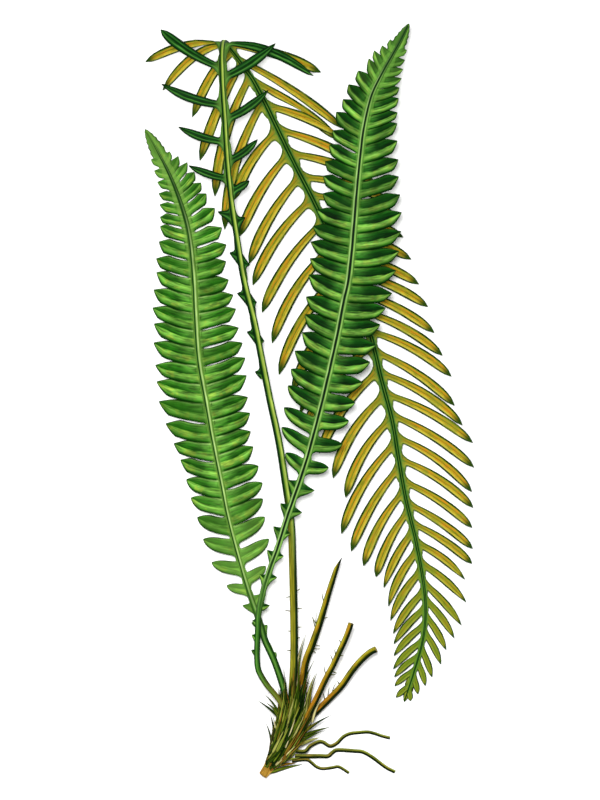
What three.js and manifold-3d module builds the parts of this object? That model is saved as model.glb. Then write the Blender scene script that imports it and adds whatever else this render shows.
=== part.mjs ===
// Deer fern, lifted with its rootstock and laid on a flat surface.
//
// It holds two sterile fronds, one fertile frond whose upper half has bent over backwards, the
// stubs of three old fronds, three wiry roots, and the scaly rootstock that they all stand in.
//
// Millimetres. The origin is on the surface, under the rootstock. X runs across the plant, Y along
// it towards the frond tips, and Z up from the surface.

import * as THREE from 'three';
import Module from 'manifold-3d';

const wasm = await Module();
wasm.setup();

const UP = new THREE.Vector3(0, 0, 1);
const GAP = 0.35; // left open between a stem and the socket that holds it
const FLOOR = 0.06; // leaf tips that lie on the surface keep this much above it

// Blades
const BLADE = 0.8; // thickness of a leaflet
const SORUS = 0.55; // how far a band of spores stands out under a fertile leaflet
const FOLD = 0.13; // fall from midrib to edge, as a share of the half width
const SLIT = 0.55; // narrowest gap between neighbouring leaflets
const SUNK = 0.15; // where a blade starts inside its rib, out from the rib's middle
const ROUND = 2.6; // how far out the rounded corner at a leaflet's root reaches
const SHARP = 0.75; // a corner narrower than this isn't rounded
const EAR = 9; // leaflets shorter than this are small ears
const POINT = 5.2; // ears shorter than this are plain points
const EAR_LINE = [0.4, 0.75]; // an ear's one line across: the share of its free length, and of its width
const WING_SHARE = 0.6; // the wing never takes more than this share of a leaflet
const HALF_WIDTH = 0.3; // the least half width of a leaflet
const LOBE = [
  [1, 0.95], [0.62, 0.9], [0.25, 0.55], [0, 0.1],
]; // a frond's last lobe: [share of its length from the tip, of its width]
const TWISTED = 0.35; // the share of a leaflet over which it takes on its twist
const NO_TWIST = [[0, 0]];
const PROUD = 0.25; // how far a blade without a neighbour stands out of its rib

function vec(x, y, z) {
  return new THREE.Vector3(x, y, z);
}

// The value at a place between hand-set keys, each [place, value].
function keyed(keys, place) {
  if (place <= keys[0][0]) return keys[0][1];
  for (let k = 1; k < keys.length; k++) {
    const [to, value] = keys[k];
    if (place <= to) {
      const [from, before] = keys[k - 1];
      return before + ((value - before) * (place - from)) / (to - from);
    }
  }
  return keys[keys.length - 1][1];
}

// A direction at a place between keys, each [place, x, y, z].
function keyedDirection(keys, place) {
  const part = (index) => keyed(keys.map((key) => [key[0], key[index]]), place);
  return vec(part(1), part(2), part(3)).normalize();
}

// A smooth line through points, read by the distance along it in millimetres.
function route(points) {
  const curve = new THREE.CatmullRomCurve3(points.map((p) => vec(...p)), false, 'catmullrom', 0.5);
  const steps = 40;
  curve.arcLengthDivisions = (points.length - 1) * steps;
  const lengths = curve.getLengths();
  const length = lengths[lengths.length - 1];
  const share = (along) => Math.min(Math.max(along / length, 0), 1);
  return {
    length,
    stations: points.map((_, k) => lengths[k * steps]),
    point: (along) => curve.getPointAt(share(along)),
    forward: (along) => curve.getTangentAt(share(along)),
  };
}

// Solids

// A closed solid from flat lists of points and triangles, turned the right way out.
function solid(points, triangles) {
  let volume = 0;
  for (const [a, b, c] of triangles) {
    volume += points[a].dot(points[b].clone().cross(points[c]));
  }
  const triVerts = triangles.flatMap(([a, b, c]) => (volume > 0 ? [a, b, c] : [a, c, b]));
  const vertProperties = new Float32Array(points.flatMap((p) => [p.x, p.y, p.z]));
  return new wasm.Manifold(
    new wasm.Mesh({ numProp: 3, vertProperties, triVerts: new Uint32Array(triVerts) }),
  );
}

// A solid that joins rings of equally many points, closed at both ends. A ring of one point is a tip.
function loft(rings) {
  const points = rings.flat();
  const starts = rings.map((_, r) => rings.slice(0, r).reduce((sum, ring) => sum + ring.length, 0));
  const triangles = [];
  for (let r = 1; r < rings.length; r++) {
    const sides = rings[r - 1].length;
    for (let k = 0; k < sides; k++) {
      const a = starts[r - 1] + k;
      const b = starts[r - 1] + ((k + 1) % sides);
      if (rings[r].length === 1) {
        triangles.push([a, b, starts[r]]);
      } else {
        const c = starts[r] + ((k + 1) % sides);
        const d = starts[r] + k;
        triangles.push([a, b, c], [a, c, d]);
      }
    }
  }
  const lastStart = starts[starts.length - 1];
  for (let k = 1; k < rings[0].length - 1; k++) triangles.push([0, k + 1, k]);
  for (let k = 1; k < rings[rings.length - 1].length - 1; k++) {
    triangles.push([lastStart, lastStart + k, lastStart + k + 1]);
  }
  return solid(points, triangles);
}

// A ring of points round a line, as wide and as high as asked.
function ring(centre, forward, face, halfWidth, halfHeight, sides) {
  const right = forward.clone().cross(face).normalize();
  const up = right.clone().cross(forward).normalize();
  return Array.from({ length: sides }, (_, k) => {
    const turn = (2 * Math.PI * (k + 0.5)) / sides;
    return centre.clone()
      .addScaledVector(right, halfWidth * Math.cos(turn))
      .addScaledVector(up, halfHeight * Math.sin(turn));
  });
}

// A stem, rib or root: a tube round its route, whose radius is keyed by the distance along it.
// Grown by a gap, the same tube cuts the socket that the stem stands in.
function stem({ path, radius, sides, face = [[0, 0, 0, 1]] }, grow = 0) {
  return loft(path.stations.map((along) => {
    const forward = path.forward(along);
    const centre = path.point(along).addScaledVector(forward, along === 0 ? -grow : 0);
    const r = keyed(radius, along) + grow;
    return ring(centre, forward, keyedDirection(face, along), r, r, sides);
  }));
}

// A sheet given thickness. Each point has its place p, the direction n of its upper face, and how
// far the solid goes over and under it. Both faces are split into the same triangles.
function thicken(sheet, triangles) {
  const over = [];
  const under = [];
  for (const { p, n, up, down } of sheet) {
    const a = p.clone().addScaledVector(n, up);
    const b = p.clone().addScaledVector(n, -down);
    const lift = Math.max(0, FLOOR - Math.min(a.z, b.z));
    a.z += lift;
    b.z += lift;
    over.push(a);
    under.push(b);
  }
  const count = sheet.length;
  const used = new Map();
  for (const triangle of triangles) {
    triangle.forEach((a, k) => used.set(`${a},${triangle[(k + 1) % 3]}`, [a, triangle[(k + 1) % 3]]));
  }
  const faces = triangles.flatMap(([a, b, c]) => [[a, b, c], [a + count, c + count, b + count]]);
  for (const [a, b] of used.values()) {
    if (!used.has(`${b},${a}`)) faces.push([a, a + count, b + count], [a, b + count, b]);
  }
  return solid([...over, ...under], faces);
}

// The mesh of a solid, with its colour, roughness and name.
function meshOf(body, name, { colour, roughness }) {
  const { vertProperties, triVerts } = body.getMesh();
  const geometry = new THREE.BufferGeometry();
  geometry.setAttribute('position', new THREE.BufferAttribute(new Float32Array(vertProperties), 3));
  geometry.setIndex(new THREE.BufferAttribute(new Uint32Array(triVerts), 1));
  geometry.computeVertexNormals();
  const material = new THREE.MeshStandardMaterial({ color: colour, roughness, metalness: 0 });
  const mesh = new THREE.Mesh(geometry, material);
  mesh.name = name;
  return mesh;
}

// Joins solids and keeps the largest body, without loose scraps.
function fuse(bodies) {
  const joined = bodies.reduce((sum, body) => sum.add(body));
  return joined.decompose().reduce((best, body) => (body.volume() > best.volume() ? body : best));
}

// Fronds

// The rib's place and directions: forward to the tip, face out of the upper side, right across.
function ribFrame(frond, along) {
  const forward = frond.path.forward(along);
  const face = keyedDirection(frond.face, along);
  face.addScaledVector(forward, -face.dot(forward)).normalize();
  return { point: frond.path.point(along), forward, face, right: forward.clone().cross(face) };
}

// One leaflet's midrib, from the middle of the rib to its tip.
function leaflet(frond, row, number) {
  const along = keyed(row.along, number);
  const length = keyed(row.length, number);
  const frame = ribFrame(frond, along);
  const angle = THREE.MathUtils.degToRad(keyed(row.angle, along));
  const out = frame.right.clone().multiplyScalar(row.side);
  const inPlane = (along, across) => frame.forward.clone()
    .multiplyScalar(along)
    .addScaledVector(out, across);
  const chord = inPlane(Math.cos(angle), Math.sin(angle));
  const ahead = inPlane(Math.sin(angle), -Math.cos(angle));
  const bow = keyed(row.bow, along);
  const lift = keyed(row.lift, along);
  const droop = keyed(row.droop, along);
  const midrib = (t) => frame.point.clone()
    .addScaledVector(chord, length * t)
    .addScaledVector(ahead, length * bow * (t * t - t))
    .addScaledVector(frame.face, length * (lift * t - droop * t * t));
  const twist = THREE.MathUtils.degToRad(keyed(row.twist ?? NO_TWIST, along));
  const turned = (direction, t) => direction.applyAxisAngle(chord, twist * Math.min(t / TWISTED, 1));
  const aheadAt = (t) => turned(ahead.clone().addScaledVector(chord, -bow * (2 * t - 1)).normalize(), t);
  const runAt = (t) => chord.clone()
    .addScaledVector(ahead, bow * (2 * t - 1))
    .addScaledVector(frame.face, lift - 2 * droop * t)
    .normalize();
  const faceAt = (t) => turned(frame.face.clone(), t);
  const width = keyed(row.width, along);
  const wing = Math.min(keyed(row.wing, along), WING_SHARE * length);
  return { along, length, midrib, aheadAt, faceAt, runAt, width, wing };
}

// Triangles between two lines of points across a leaflet, where the next may have more points or one.
function bridge(triangles, near, far) {
  if (far.length === 1) {
    for (let k = 1; k < near.length; k++) triangles.push([near[k - 1], near[k], far[0]]);
  } else if (far.length === near.length) {
    for (let k = 1; k < near.length; k++) {
      triangles.push([near[k - 1], near[k], far[k]], [near[k - 1], far[k], far[k - 1]]);
    }
  } else {
    const [a, b, c] = near;
    triangles.push([a, far[1], far[0]], [a, b, far[1]], [b, far[2], far[1]]);
    triangles.push([b, far[3], far[2]], [b, c, far[3]], [c, far[4], far[3]]);
  }
}

// Half the blade of a frond: its leaflets on one side, joined at their roots by the wing.
function halfBlade(frond, row) {
  const sheet = [];
  const triangles = [];
  const add = (p, n, up = BLADE / 2, down = BLADE / 2) => sheet.push({ p, n, up, down }) - 1;
  const leaflets = Array.from({ length: row.count }, (_, number) => leaflet(frond, row, number));
  const last = leaflets.length - 1;

  // The line between two neighbours: a point in the rib, and the bottom of the gap between them.
  const bounds = [];
  for (let number = -1; number <= last; number++) {
    const before = leaflets[Math.max(number, 0)];
    const after = leaflets[Math.min(number + 1, last)];
    const inner = number >= 0 && number < last;
    const reach = (Math.min(before.width, before.length) / 2) * (number < 0 ? -1 : 1);
    const along = inner ? (before.along + after.along) / 2 : before.along + reach;
    const frame = ribFrame(frond, along);
    const out = frame.right.clone().multiplyScalar(row.side);
    const root = frame.point.clone().addScaledVector(out, SUNK);
    const edge = keyed(frond.radius, along) + PROUD;
    let gap = frame.point.clone().addScaledVector(out, edge);
    if (inner) {
      gap = before.midrib(before.wing / before.length).add(after.midrib(after.wing / after.length));
      gap.multiplyScalar(0.5).addScaledVector(frame.face, (-FOLD * before.width) / 2);
    }
    bounds.push([add(root, frame.face), add(gap, frame.face)]);
  }

  leaflets.forEach((leaf, number) => {
    const [rootBefore, gapBefore] = bounds[number];
    const [rootAfter, gapAfter] = bounds[number + 1];
    const small = leaf.length < EAR;

    // Half the width on one side, kept clear of the neighbour there.
    const half = (t, share, neighbour) => {
      const wanted = (leaf.width * share) / 2;
      if (!neighbour) return wanted;
      const there = (t * leaf.length) / neighbour.length;
      if (there >= 1) return wanted;
      const apart = neighbour.midrib(there).sub(leaf.midrib(t)).projectOnPlane(leaf.runAt(t));
      return Math.max(HALF_WIDTH, Math.min(wanted, (apart.length() - SLIT) / 2));
    };
    // A line of points across the leaflet, with a ridge under each half where it bears spores.
    const cross = (t, share, sori) => {
      const ahead = half(t, share, leaflets[number + 1]);
      const behind = half(t, share, leaflets[number - 1]);
      const way = leaf.aheadAt(t);
      const face = leaf.faceAt(t);
      const at = (offset) => leaf.midrib(t)
        .addScaledVector(way, offset)
        .addScaledVector(face, -FOLD * Math.abs(offset));
      const edges = [add(at(-behind), face), add(at(0), face), add(at(ahead), face)];
      if (!sori) return edges;
      const ridge = (offset) => add(at(offset), face, BLADE / 2, BLADE / 2 + SORUS);
      return [edges[0], ridge(-behind / 2), edges[1], ridge(ahead / 2), edges[2]];
    };
    const wingAt = leaf.wing / leaf.length;
    const wing = add(leaf.midrib(wingAt), leaf.faceAt(wingAt));
    triangles.push([rootBefore, rootAfter, wing]);
    triangles.push([rootBefore, wing, gapBefore], [rootAfter, gapAfter, wing]);
    const lines = [[gapBefore, wing, gapAfter]];
    if (small) {
      const [t, share] = EAR_LINE;
      if (leaf.length > POINT) lines.push(cross(wingAt + (1 - wingAt) * t, share, false));
    } else {
      const pitch = Math.abs(keyed(row.along, number + 1) - keyed(row.along, number - 1)) / 2;
      const open = Math.min((pitch - leaf.width) / 2, ROUND);
      if (open > SHARP) lines.push(cross(Math.min(wingAt + open / leaf.length, 0.5), 1, false));
      for (const [t, share, longerThan] of row.outline) {
        if (leaf.length > longerThan) lines.push(cross(t, share, row.sori));
      }
    }
    const tip = add(leaf.midrib(1), leaf.faceAt(1));
    for (let l = 1; l < lines.length; l++) bridge(triangles, lines[l - 1], lines[l]);
    bridge(triangles, lines[lines.length - 1], [tip]);
  });
  return thicken(sheet, triangles);
}

// The last lobe, which carries the rib on to the frond's tip.
function endLobe(frond) {
  const { length } = frond.path;
  const sheet = [];
  const triangles = [];
  for (const [back, half] of LOBE) {
    const frame = ribFrame(frond, length - back * frond.endLobe);
    for (const side of [-1, 0, 1]) {
      const p = frame.point.clone()
        .addScaledVector(frame.right, side * half * frond.endWidth)
        .addScaledVector(frame.face, -FOLD * Math.abs(side) * half);
      sheet.push({ p, n: frame.face, up: BLADE / 2, down: BLADE / 2 });
    }
  }
  for (let row = 1; row < LOBE.length; row++) {
    for (const k of [0, 1]) {
      const a = 3 * (row - 1) + k;
      triangles.push([a, a + 1, a + 4], [a, a + 4, a + 3]);
    }
  }
  return thicken(sheet, triangles);
}

function frondSolid(frond) {
  const rib = stem(frond);
  return fuse([rib, ...frond.rows.map((row) => halfBlade(frond, row)), endLobe(frond)]);
}

// Left sterile frond: light green, lying with its leaflet tips on the surface
const leftFrond = {
  path: route([
    [2.5, 16, 4.2], [1, 26, 4.4], [-1.5, 36, 4.6], [-5, 46, 4.8], [-9.5, 56, 5], [-12.5, 66, 5.2],
    [-17, 78.5, 5.4], [-22, 95, 5.8], [-27.5, 116, 6.2], [-31.5, 136, 6.5], [-35.5, 156, 6.7],
    [-39, 176, 6.8], [-42.5, 196, 6.7], [-44, 216, 6.4], [-45, 236, 5.9], [-47, 256, 5.1],
    [-50, 269.5, 4.5], [-56, 286, 3.6], [-63.5, 301, 2.4], [-69.5, 311.5, 1.2],
  ]),
  face: [[0, 0, 0, 1]],
  radius: [[0, 1.15], [60, 1.1], [200, 0.95], [304, 0.55]],
  sides: 6,
  endLobe: 15,
  endWidth: 3.9,
};
const leftAcross = {
  width: [[30, 3], [60, 3.6], [80, 5.8], [100, 7.4], [140, 8.6], [230, 8.4], [260, 7.4], [290, 5.2]],
  outline: [[0.6, 1.02, 0], [0.86, 0.7, 13]],
};
leftFrond.rows = [
  {
    ...leftAcross,
    side: -1,
    count: 28,
    along: [
      [0, 50], [2, 68.7], [5, 101.8], [9, 139.1], [13, 179],
      [17, 214.2], [21, 249], [24, 268.6], [27, 287.5],
    ],
    length: [
      [0, 4.6], [1, 5.8], [2, 11.1], [3, 15.5], [6, 18.2], [9, 21.3], [11, 25], [13, 23.8], [16, 22.8],
      [19, 18.7], [22, 13.1], [25, 8.7], [27, 6.2],
    ],
    angle: [[0, 60], [106, 62], [152, 67], [243, 67], [280, 55], [304, 35]],
    bow: [[0, 0.16], [120, 0.22], [304, 0.2]],
    lift: [[0, 0.12], [304, 0.05]],
    droop: [[0, 0.34], [200, 0.36], [304, 0.1]],
    wing: [[40, 1.8], [80, 2.4], [130, 3.6], [230, 4], [290, 2.6]],
  },
  {
    ...leftAcross,
    side: 1,
    count: 30,
    along: [
      [0, 33], [2, 62.4], [5, 96.8], [9, 133.7], [13, 168.9],
      [17, 205.4], [21, 238.3], [24, 261.1], [27, 277],
      [29, 287],
    ],
    length: [
      [0, 2.7], [1, 3.5], [2, 6], [3, 12], [4, 18], [7, 20], [9, 19.3], [12, 21], [14, 23.6], [17, 21],
      [19, 17.5], [21, 17.8], [24, 14.8], [26, 13.4], [27, 12], [29, 6.6],
    ],
    angle: [[0, 60], [91, 75], [152, 79], [243, 75], [280, 60], [304, 35]],
    bow: [[0, 0.16], [120, 0.2], [304, 0.2]],
    lift: [[0, 0.12], [304, 0.05]],
    droop: [[0, 0.34], [200, 0.36], [304, 0.1]],
    wing: [[40, 1.6], [80, 2.4], [130, 3.6], [230, 4], [290, 2.6]],
  },
];

// Right sterile frond: dark green, arching over the other two
const rightFrond = {
  path: route([
    [1.2, 13, 11.4], [0.5, 20, 11.8], [-2, 25.5, 12.1], [-5, 29.5, 12.4], [-8, 33, 12.7], [-11, 37.5, 13],
    [-13, 42, 13.3], [-13.5, 48.5, 13.8], [-13.3, 56, 14.4], [-13, 62, 15], [-12.8, 68.5, 15.6],
    [-10.3, 81, 17], [-6.8, 92, 18.3], [-3, 102.5, 19.4],
    [1.5, 117, 20.8], [5, 127, 21.8], [9, 138.5, 23],
    [12.8, 151, 24.3], [16.8, 166, 25.7], [20, 178.5, 26.7], [23.8, 195, 27.8], [27.3, 211, 28.6],
    [29.8, 224.5, 29.1], [32.3, 236, 29.4], [34, 251, 29.6], [35.3, 266, 29.6], [36.5, 281, 29.4],
    [38, 296, 29], [40, 312, 28.4], [43.5, 327, 27.6], [48, 337, 27], [53.5, 347, 26.3], [58, 355, 25.7],
    [62.5, 364, 25],
  ]),
  face: [[0, 0, 0, 1]],
  radius: [[0, 1.15], [80, 1.1], [240, 0.95], [368, 0.55]],
  sides: 6,
  endLobe: 15,
  endWidth: 3.9,
};
const rightAcross = {
  width: [[40, 2.6], [60, 3.2], [110, 4.6], [150, 6.8], [190, 8.2], [290, 8.6], [320, 7.8], [350, 5.6]],
  outline: [[0.6, 1.02, 0], [0.86, 0.7, 13]],
};
rightFrond.rows = [
  {
    ...rightAcross,
    side: -1,
    count: 35,
    along: [
      [0, 41], [2, 56], [3, 78], [7, 127], [11, 169.4],
      [15, 207.2], [19, 246.4], [23, 278.3], [27, 308.1],
      [31, 335.5], [34, 351.3],
    ],
    length: [
      [0, 3], [2, 3], [3, 4.2], [5, 5.6], [7, 6], [8, 11.7], [9, 17], [12, 20], [14, 18.5], [17, 21],
      [19, 22], [22, 18.3], [25, 17.5], [27, 16.5], [30, 13], [32, 10.9], [34, 6.6],
    ],
    angle: [[0, 60], [148, 72], [258, 76], [313, 62], [350, 48], [369, 32]],
    bow: [[0, 0.14], [180, 0.22], [369, 0.2]],
    lift: [[0, 0.08], [369, 0.08]],
    droop: [[0, 0.1], [200, 0.22], [369, 0.12]],
    wing: [[60, 1.6], [130, 2.4], [180, 3.6], [300, 4], [350, 2.6]],
  },
  {
    ...rightAcross,
    side: 1,
    count: 32,
    along: [
      [0, 64], [1, 79.6], [4, 114.5], [8, 162.4], [12, 201.2], [16, 235.9], [20, 269.9], [24, 305.4],
      [28, 334.1], [31, 350.5],
    ],
    length: [
      [0, 5], [3, 3.9], [5, 8.3], [7, 15], [9, 16.4],
      [11, 19], [13, 20], [15, 23.2], [17, 24.5], [20, 23.5],
      [23, 19.7], [26, 16.4], [28, 12], [31, 6.9],
    ],
    angle: [[0, 60], [110, 78], [221, 77], [295, 64], [340, 52], [369, 32]],
    bow: [[0, 0.14], [180, 0.22], [369, 0.2]],
    lift: [[0, 0.08], [369, 0.08]],
    droop: [[0, 0.1], [200, 0.22], [369, 0.12]],
    wing: [[60, 1.6], [130, 2.4], [180, 3.6], [300, 4], [350, 2.6]],
  },
];

// Fertile frond: it rises, arches over backwards and comes down with its spore bands upwards
const fertileFrond = {
  path: route([
    [3.5, 10, 8.5], [4, 26, 9], [5, 46, 9.6], [5, 66, 10.3],
    [4.3, 96, 12], [3.5, 115, 13], [0.5, 136, 14.5],
    [-2.7, 156, 16], [-7, 176, 18], [-11, 196, 20], [-15, 216, 22], [-20, 236, 24.2], [-23.3, 256, 26.5],
    [-26.3, 276, 29], [-28.3, 296, 31.5], [-29.5, 316, 34.5], [-30.5, 331, 36.5], [-31, 341, 36.6],
    [-31, 350, 33.5], [-30.5, 354, 27], [-29.5, 354.7, 21], [-27.5, 353, 13.5], [-24, 348.5, 8.2],
    [-19.5, 342, 6.2], [-15.5, 336, 5.8], [-9.5, 324.5, 5.6], [-3.5, 312, 5.5], [4.5, 295.5, 5.4],
    [14.5, 276, 5.3], [23, 258, 5.2], [31.8, 238, 5.1], [39.5, 218.5, 5], [44, 206, 5], [48.5, 187, 4.9],
    [54, 166, 4.7], [57.4, 146, 4.5], [61, 126, 4.2], [65.8, 106, 3.9], [69.5, 86, 3.5], [70.8, 71, 3.2],
    [69.4, 56, 2.9], [65, 40, 2.5], [60, 25, 1.8],
  ]),
  face: [
    [0, 0, 0, 1], [320, 0, 0.1, 1], [345, 0, 0.8, 0.6], [360, 0, 1, 0], [374, 0.2, 0.6, -0.6],
    [392, 0, 0, -1],
  ],
  radius: [[0, 2], [120, 1.9], [300, 1.7], [400, 1.6], [560, 1.4], [650, 1.1], [720, 0.6]],
  sides: 6,
  endLobe: 10,
  endWidth: 1.6,
};
const fertileAcross = {
  sori: true,
  outline: [[0.48, 1.05, 20], [0.84, 0.9, 0]],
  lift: [[170, 0.05], [720, 0.05]],
  wing: [[170, 1.7], [275, 1.7], [300, 2.4], [350, 2.4], [380, 3.2], [600, 3.4], [700, 2.4]],
};
fertileFrond.rows = [
  {
    ...fertileAcross,
    side: -1,
    count: 42,
    width: [[170, 4.4], [262, 4.4], [280, 4.2], [320, 5], [380, 5.4], [560, 5.3], [650, 4.6], [710, 3]],
    twist: [[336, 0], [356, 60], [365, 50], [372, 30], [380, 0]],
    along: [
      [0, 180.5], [4, 261.5], [8, 336], [9, 356], [10, 365],
      [13, 388], [14, 402], [15, 418.7], [20, 482.3],
      [25, 549.3], [30, 610.7], [35, 661.7], [38, 687], [41, 710],
    ],
    length: [
      [0, 5], [3, 5.2], [4, 8], [5, 21.6], [6, 25], [7, 32.4], [8, 37.5], [9, 40], [10, 35.5], [11, 33.5],
      [12, 49], [13, 63], [14, 66], [15, 42], [16, 49], [18, 52.6], [21, 60.6], [24, 52.7], [27, 47],
      [28, 53], [30, 42], [32, 33], [35, 26.8], [38, 20], [41, 9],
    ],
    angle: [
      [170, 65], [319, 68], [336, 56], [356, 84], [365, 79], [372, 60], [380, 57], [388, 51], [402, 45],
      [419, 58], [445, 60], [495, 57], [549, 51], [589, 39], [662, 42], [710, 32],
    ],
    bow: [
      [170, 0.1], [262, 0.12], [280, 0.2], [350, 0.2], [365, 0.1], [388, 0.24], [520, 0.3], [600, 0.26],
      [720, 0.14],
    ],
    droop: [
      [170, 0.1], [345, 0.15], [356, 0.33], [365, 0.68],
      [372, 0.72], [380, 0.43], [388, 0.12], [402, 0.04],
      [720, 0.1],
    ],
  },
  {
    ...fertileAcross,
    side: 1,
    count: 43,
    width: [
      [170, 4.4], [262, 4.4], [280, 4.2], [320, 5], [345, 5.8], [380, 5], [560, 4.7], [650, 4.2], [710, 3],
    ],
    twist: [[331, 0], [353, 50], [366, -62], [378, 0]],
    along: [
      [0, 197.9], [3, 258.1], [5, 288.9], [7, 331], [8, 353], [9, 366], [10, 378], [12, 405], [15, 445],
      [18, 475.4], [22, 518.2], [27, 572.1], [31, 617], [35, 657.7], [39, 690.5], [42, 712],
    ],
    length: [
      [0, 3], [2, 4.7], [3, 6], [4, 10.8], [5, 19.1], [6, 25.4], [7, 32], [8, 45], [9, 48], [10, 61],
      [11, 50], [12, 38.6], [13, 45], [16, 44], [18, 43.6], [21, 45.4], [24, 48.9], [27, 49], [30, 42.9],
      [31, 39.9], [33, 31], [35, 27.7], [37, 20.1], [39, 15.9], [42, 6],
    ],
    angle: [
      [180, 110], [240, 115], [258, 74], [289, 60], [331, 60], [353, 79], [366, 63], [378, 28], [392, 28],
      [405, 42], [433, 43], [465, 50], [498, 43], [528, 41], [550, 44], [600, 46], [637, 43], [660, 33],
      [698, 34], [712, 28],
    ],
    bow: [
      [170, 0.1], [262, 0.12], [280, 0.2], [350, 0.2], [366, 0.1], [388, 0.18], [520, 0.24], [600, 0.24],
      [720, 0.14],
    ],
    droop: [
      [170, 0.1], [320, 0.15], [340, 0.2], [353, 0.47], [366, 0.19], [378, 0.09], [392, 0.03],
      [720, 0.1],
    ],
  },
];

// Old stubs and roots, each a route and its keyed radius
const stubs = {
  old_stipe_tall: {
    path: route([
      [7.5, 17, 4.6], [8.5, 26, 5], [10.5, 43.5, 6.5], [14, 53.5, 7.6], [17.5, 63.5, 8.8],
      [20.5, 73.5, 10], [23.5, 83.5, 11.2], [28, 97.5, 13],
    ]),
    radius: [[0, 1.95], [40, 1.9], [70, 1.5], [85, 1.1]],
    sides: 8,
  },
  old_stipe_middle: {
    path: route([
      [8, 12, 9.8], [12, 18.5, 10.6], [17, 28.5, 12], [20.5, 36, 13.2], [24.5, 43.5, 14.6],
      [28, 51, 16], [31, 57.5, 17.4], [33.5, 64.5, 19],
    ]),
    radius: [[0, 1.7], [65, 1.5]],
    sides: 8,
  },
  old_stipe_low: {
    path: route([
      [7.5, 8.5, 4], [11, 15, 4.6], [17, 21, 5.6], [23, 27, 6.8], [28.8, 33.2, 8.2], [34, 40.7, 9.8],
      [38.5, 46, 11.2], [43, 50, 12.6], [46, 51.5, 13.4],
    ]),
    radius: [[0, 1.75], [60, 1.7]],
    sides: 8,
  },
};
const roots = {
  root_upper: {
    path: route([
      [6, 0.5, 6.4], [10.5, 0.5, 5.6], [13, 3, 4.6], [17, 5, 3.2], [19.5, 5, 2.6], [23, 3, 2],
      [26.5, 4.5, 1.6], [29.5, 7.5, 1.3], [33, 9.2, 1.1], [38, 9.8, 0.95], [42, 10, 0.9],
      [45.5, 9.2, 0.85], [49, 8, 0.8], [53, 7, 0.75],
    ]),
    radius: [[0, 0.8], [50, 0.65]],
    sides: 6,
  },
  root_middle: {
    path: route([
      [5.5, -2, 4], [9.5, -2, 3.6], [18, -2, 2.2], [22, -2, 1.6], [24.5, 0, 1.3], [27, 1, 1.15],
      [35.5, 0.5, 1], [39.5, 0, 0.95], [44, -2.5, 0.9], [48, -5.5, 0.9], [51.5, -8, 0.85],
      [55.5, -10, 0.8],
    ]),
    radius: [[0, 0.9], [55, 0.7]],
    sides: 6,
  },
  root_lower: {
    path: route([
      [4, -4.4, 2.2], [9, -3.8, 1.9], [12, -4, 1.6], [14, -5.5, 1.3], [16.5, -7.5, 1.1],
      [19.5, -8.3, 0.95], [24, -7.8, 0.85], [27, -7.3, 0.8], [29.5, -8.5, 0.75], [32.5, -10.5, 0.75],
    ]),
    radius: [[0, 0.7], [30, 0.6]],
    sides: 6,
  },
};

// Rootstock: a knobbly core from its broken lower neck up to the crown, under narrow scales
const coreAxis = route([
  [-10.5, -11.5, 3], [-6.5, -6, 4.6], [-2, 0, 6.4], [0.5, 6, 7], [3, 13, 7.4], [4, 21, 7.6],
  [4.5, 27, 7.8],
]);
const coreWidth = [[0, 2.3], [5, 2.8], [10, 4.6], [15, 6.6], [24, 8.2], [32, 7.2], [38, 4.5]];
const coreHeight = [[0, 2.2], [5, 3.8], [10, 6.6], [15, 8], [24, 8.5], [32, 7.4], [38, 4.5]];
const CORE_SIDES = 12;
const CORE_STEPS = 8;

function rootstockCore() {
  const rings = [];
  for (let k = 0; k <= CORE_STEPS; k++) {
    const along = (coreAxis.length * k) / CORE_STEPS;
    rings.push(ring(
      coreAxis.point(along), coreAxis.forward(along), UP,
      keyed(coreWidth, along), keyed(coreHeight, along), CORE_SIDES,
    ));
  }
  return loft(rings);
}

// Scales: chaffy blades that lie along the core and stand off it towards their points
const SCALES = {
  count: 44,
  seed: 55433,
  from: 0.1, // the lowest one's place, as a share of the core's length
  span: 0.72, // and how far up the core they go
  bare: -0.55, // none grow lower on the core's side than this, as a sine
  length: [14, 25],
  flare: [0.1, 0.4], // how far they stand off, as a share of their length
  curl: 0.12, // and how much more at their points
  sway: 0.12, // how far they bend sideways at most
  width: 1.2,
  thickness: 0.9,
  deepest: 7, // no root of one is further out from the core's axis than this
  sink: 2.2, // how deep their roots lie in the core
  outline: [[0, 0.7], [0.4, 1], [0.75, 0.7]],
  clear: 1.2, // they stay this much above the surface
};
const GOLDEN = Math.PI * (3 - Math.sqrt(5));

// A plain repeatable draw between two values.
function draws(seed) {
  let state = seed;
  return (low, high) => {
    state = (state * 16807) % 2147483647;
    return THREE.MathUtils.lerp(low, high, state / 2147483647);
  };
}

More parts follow.
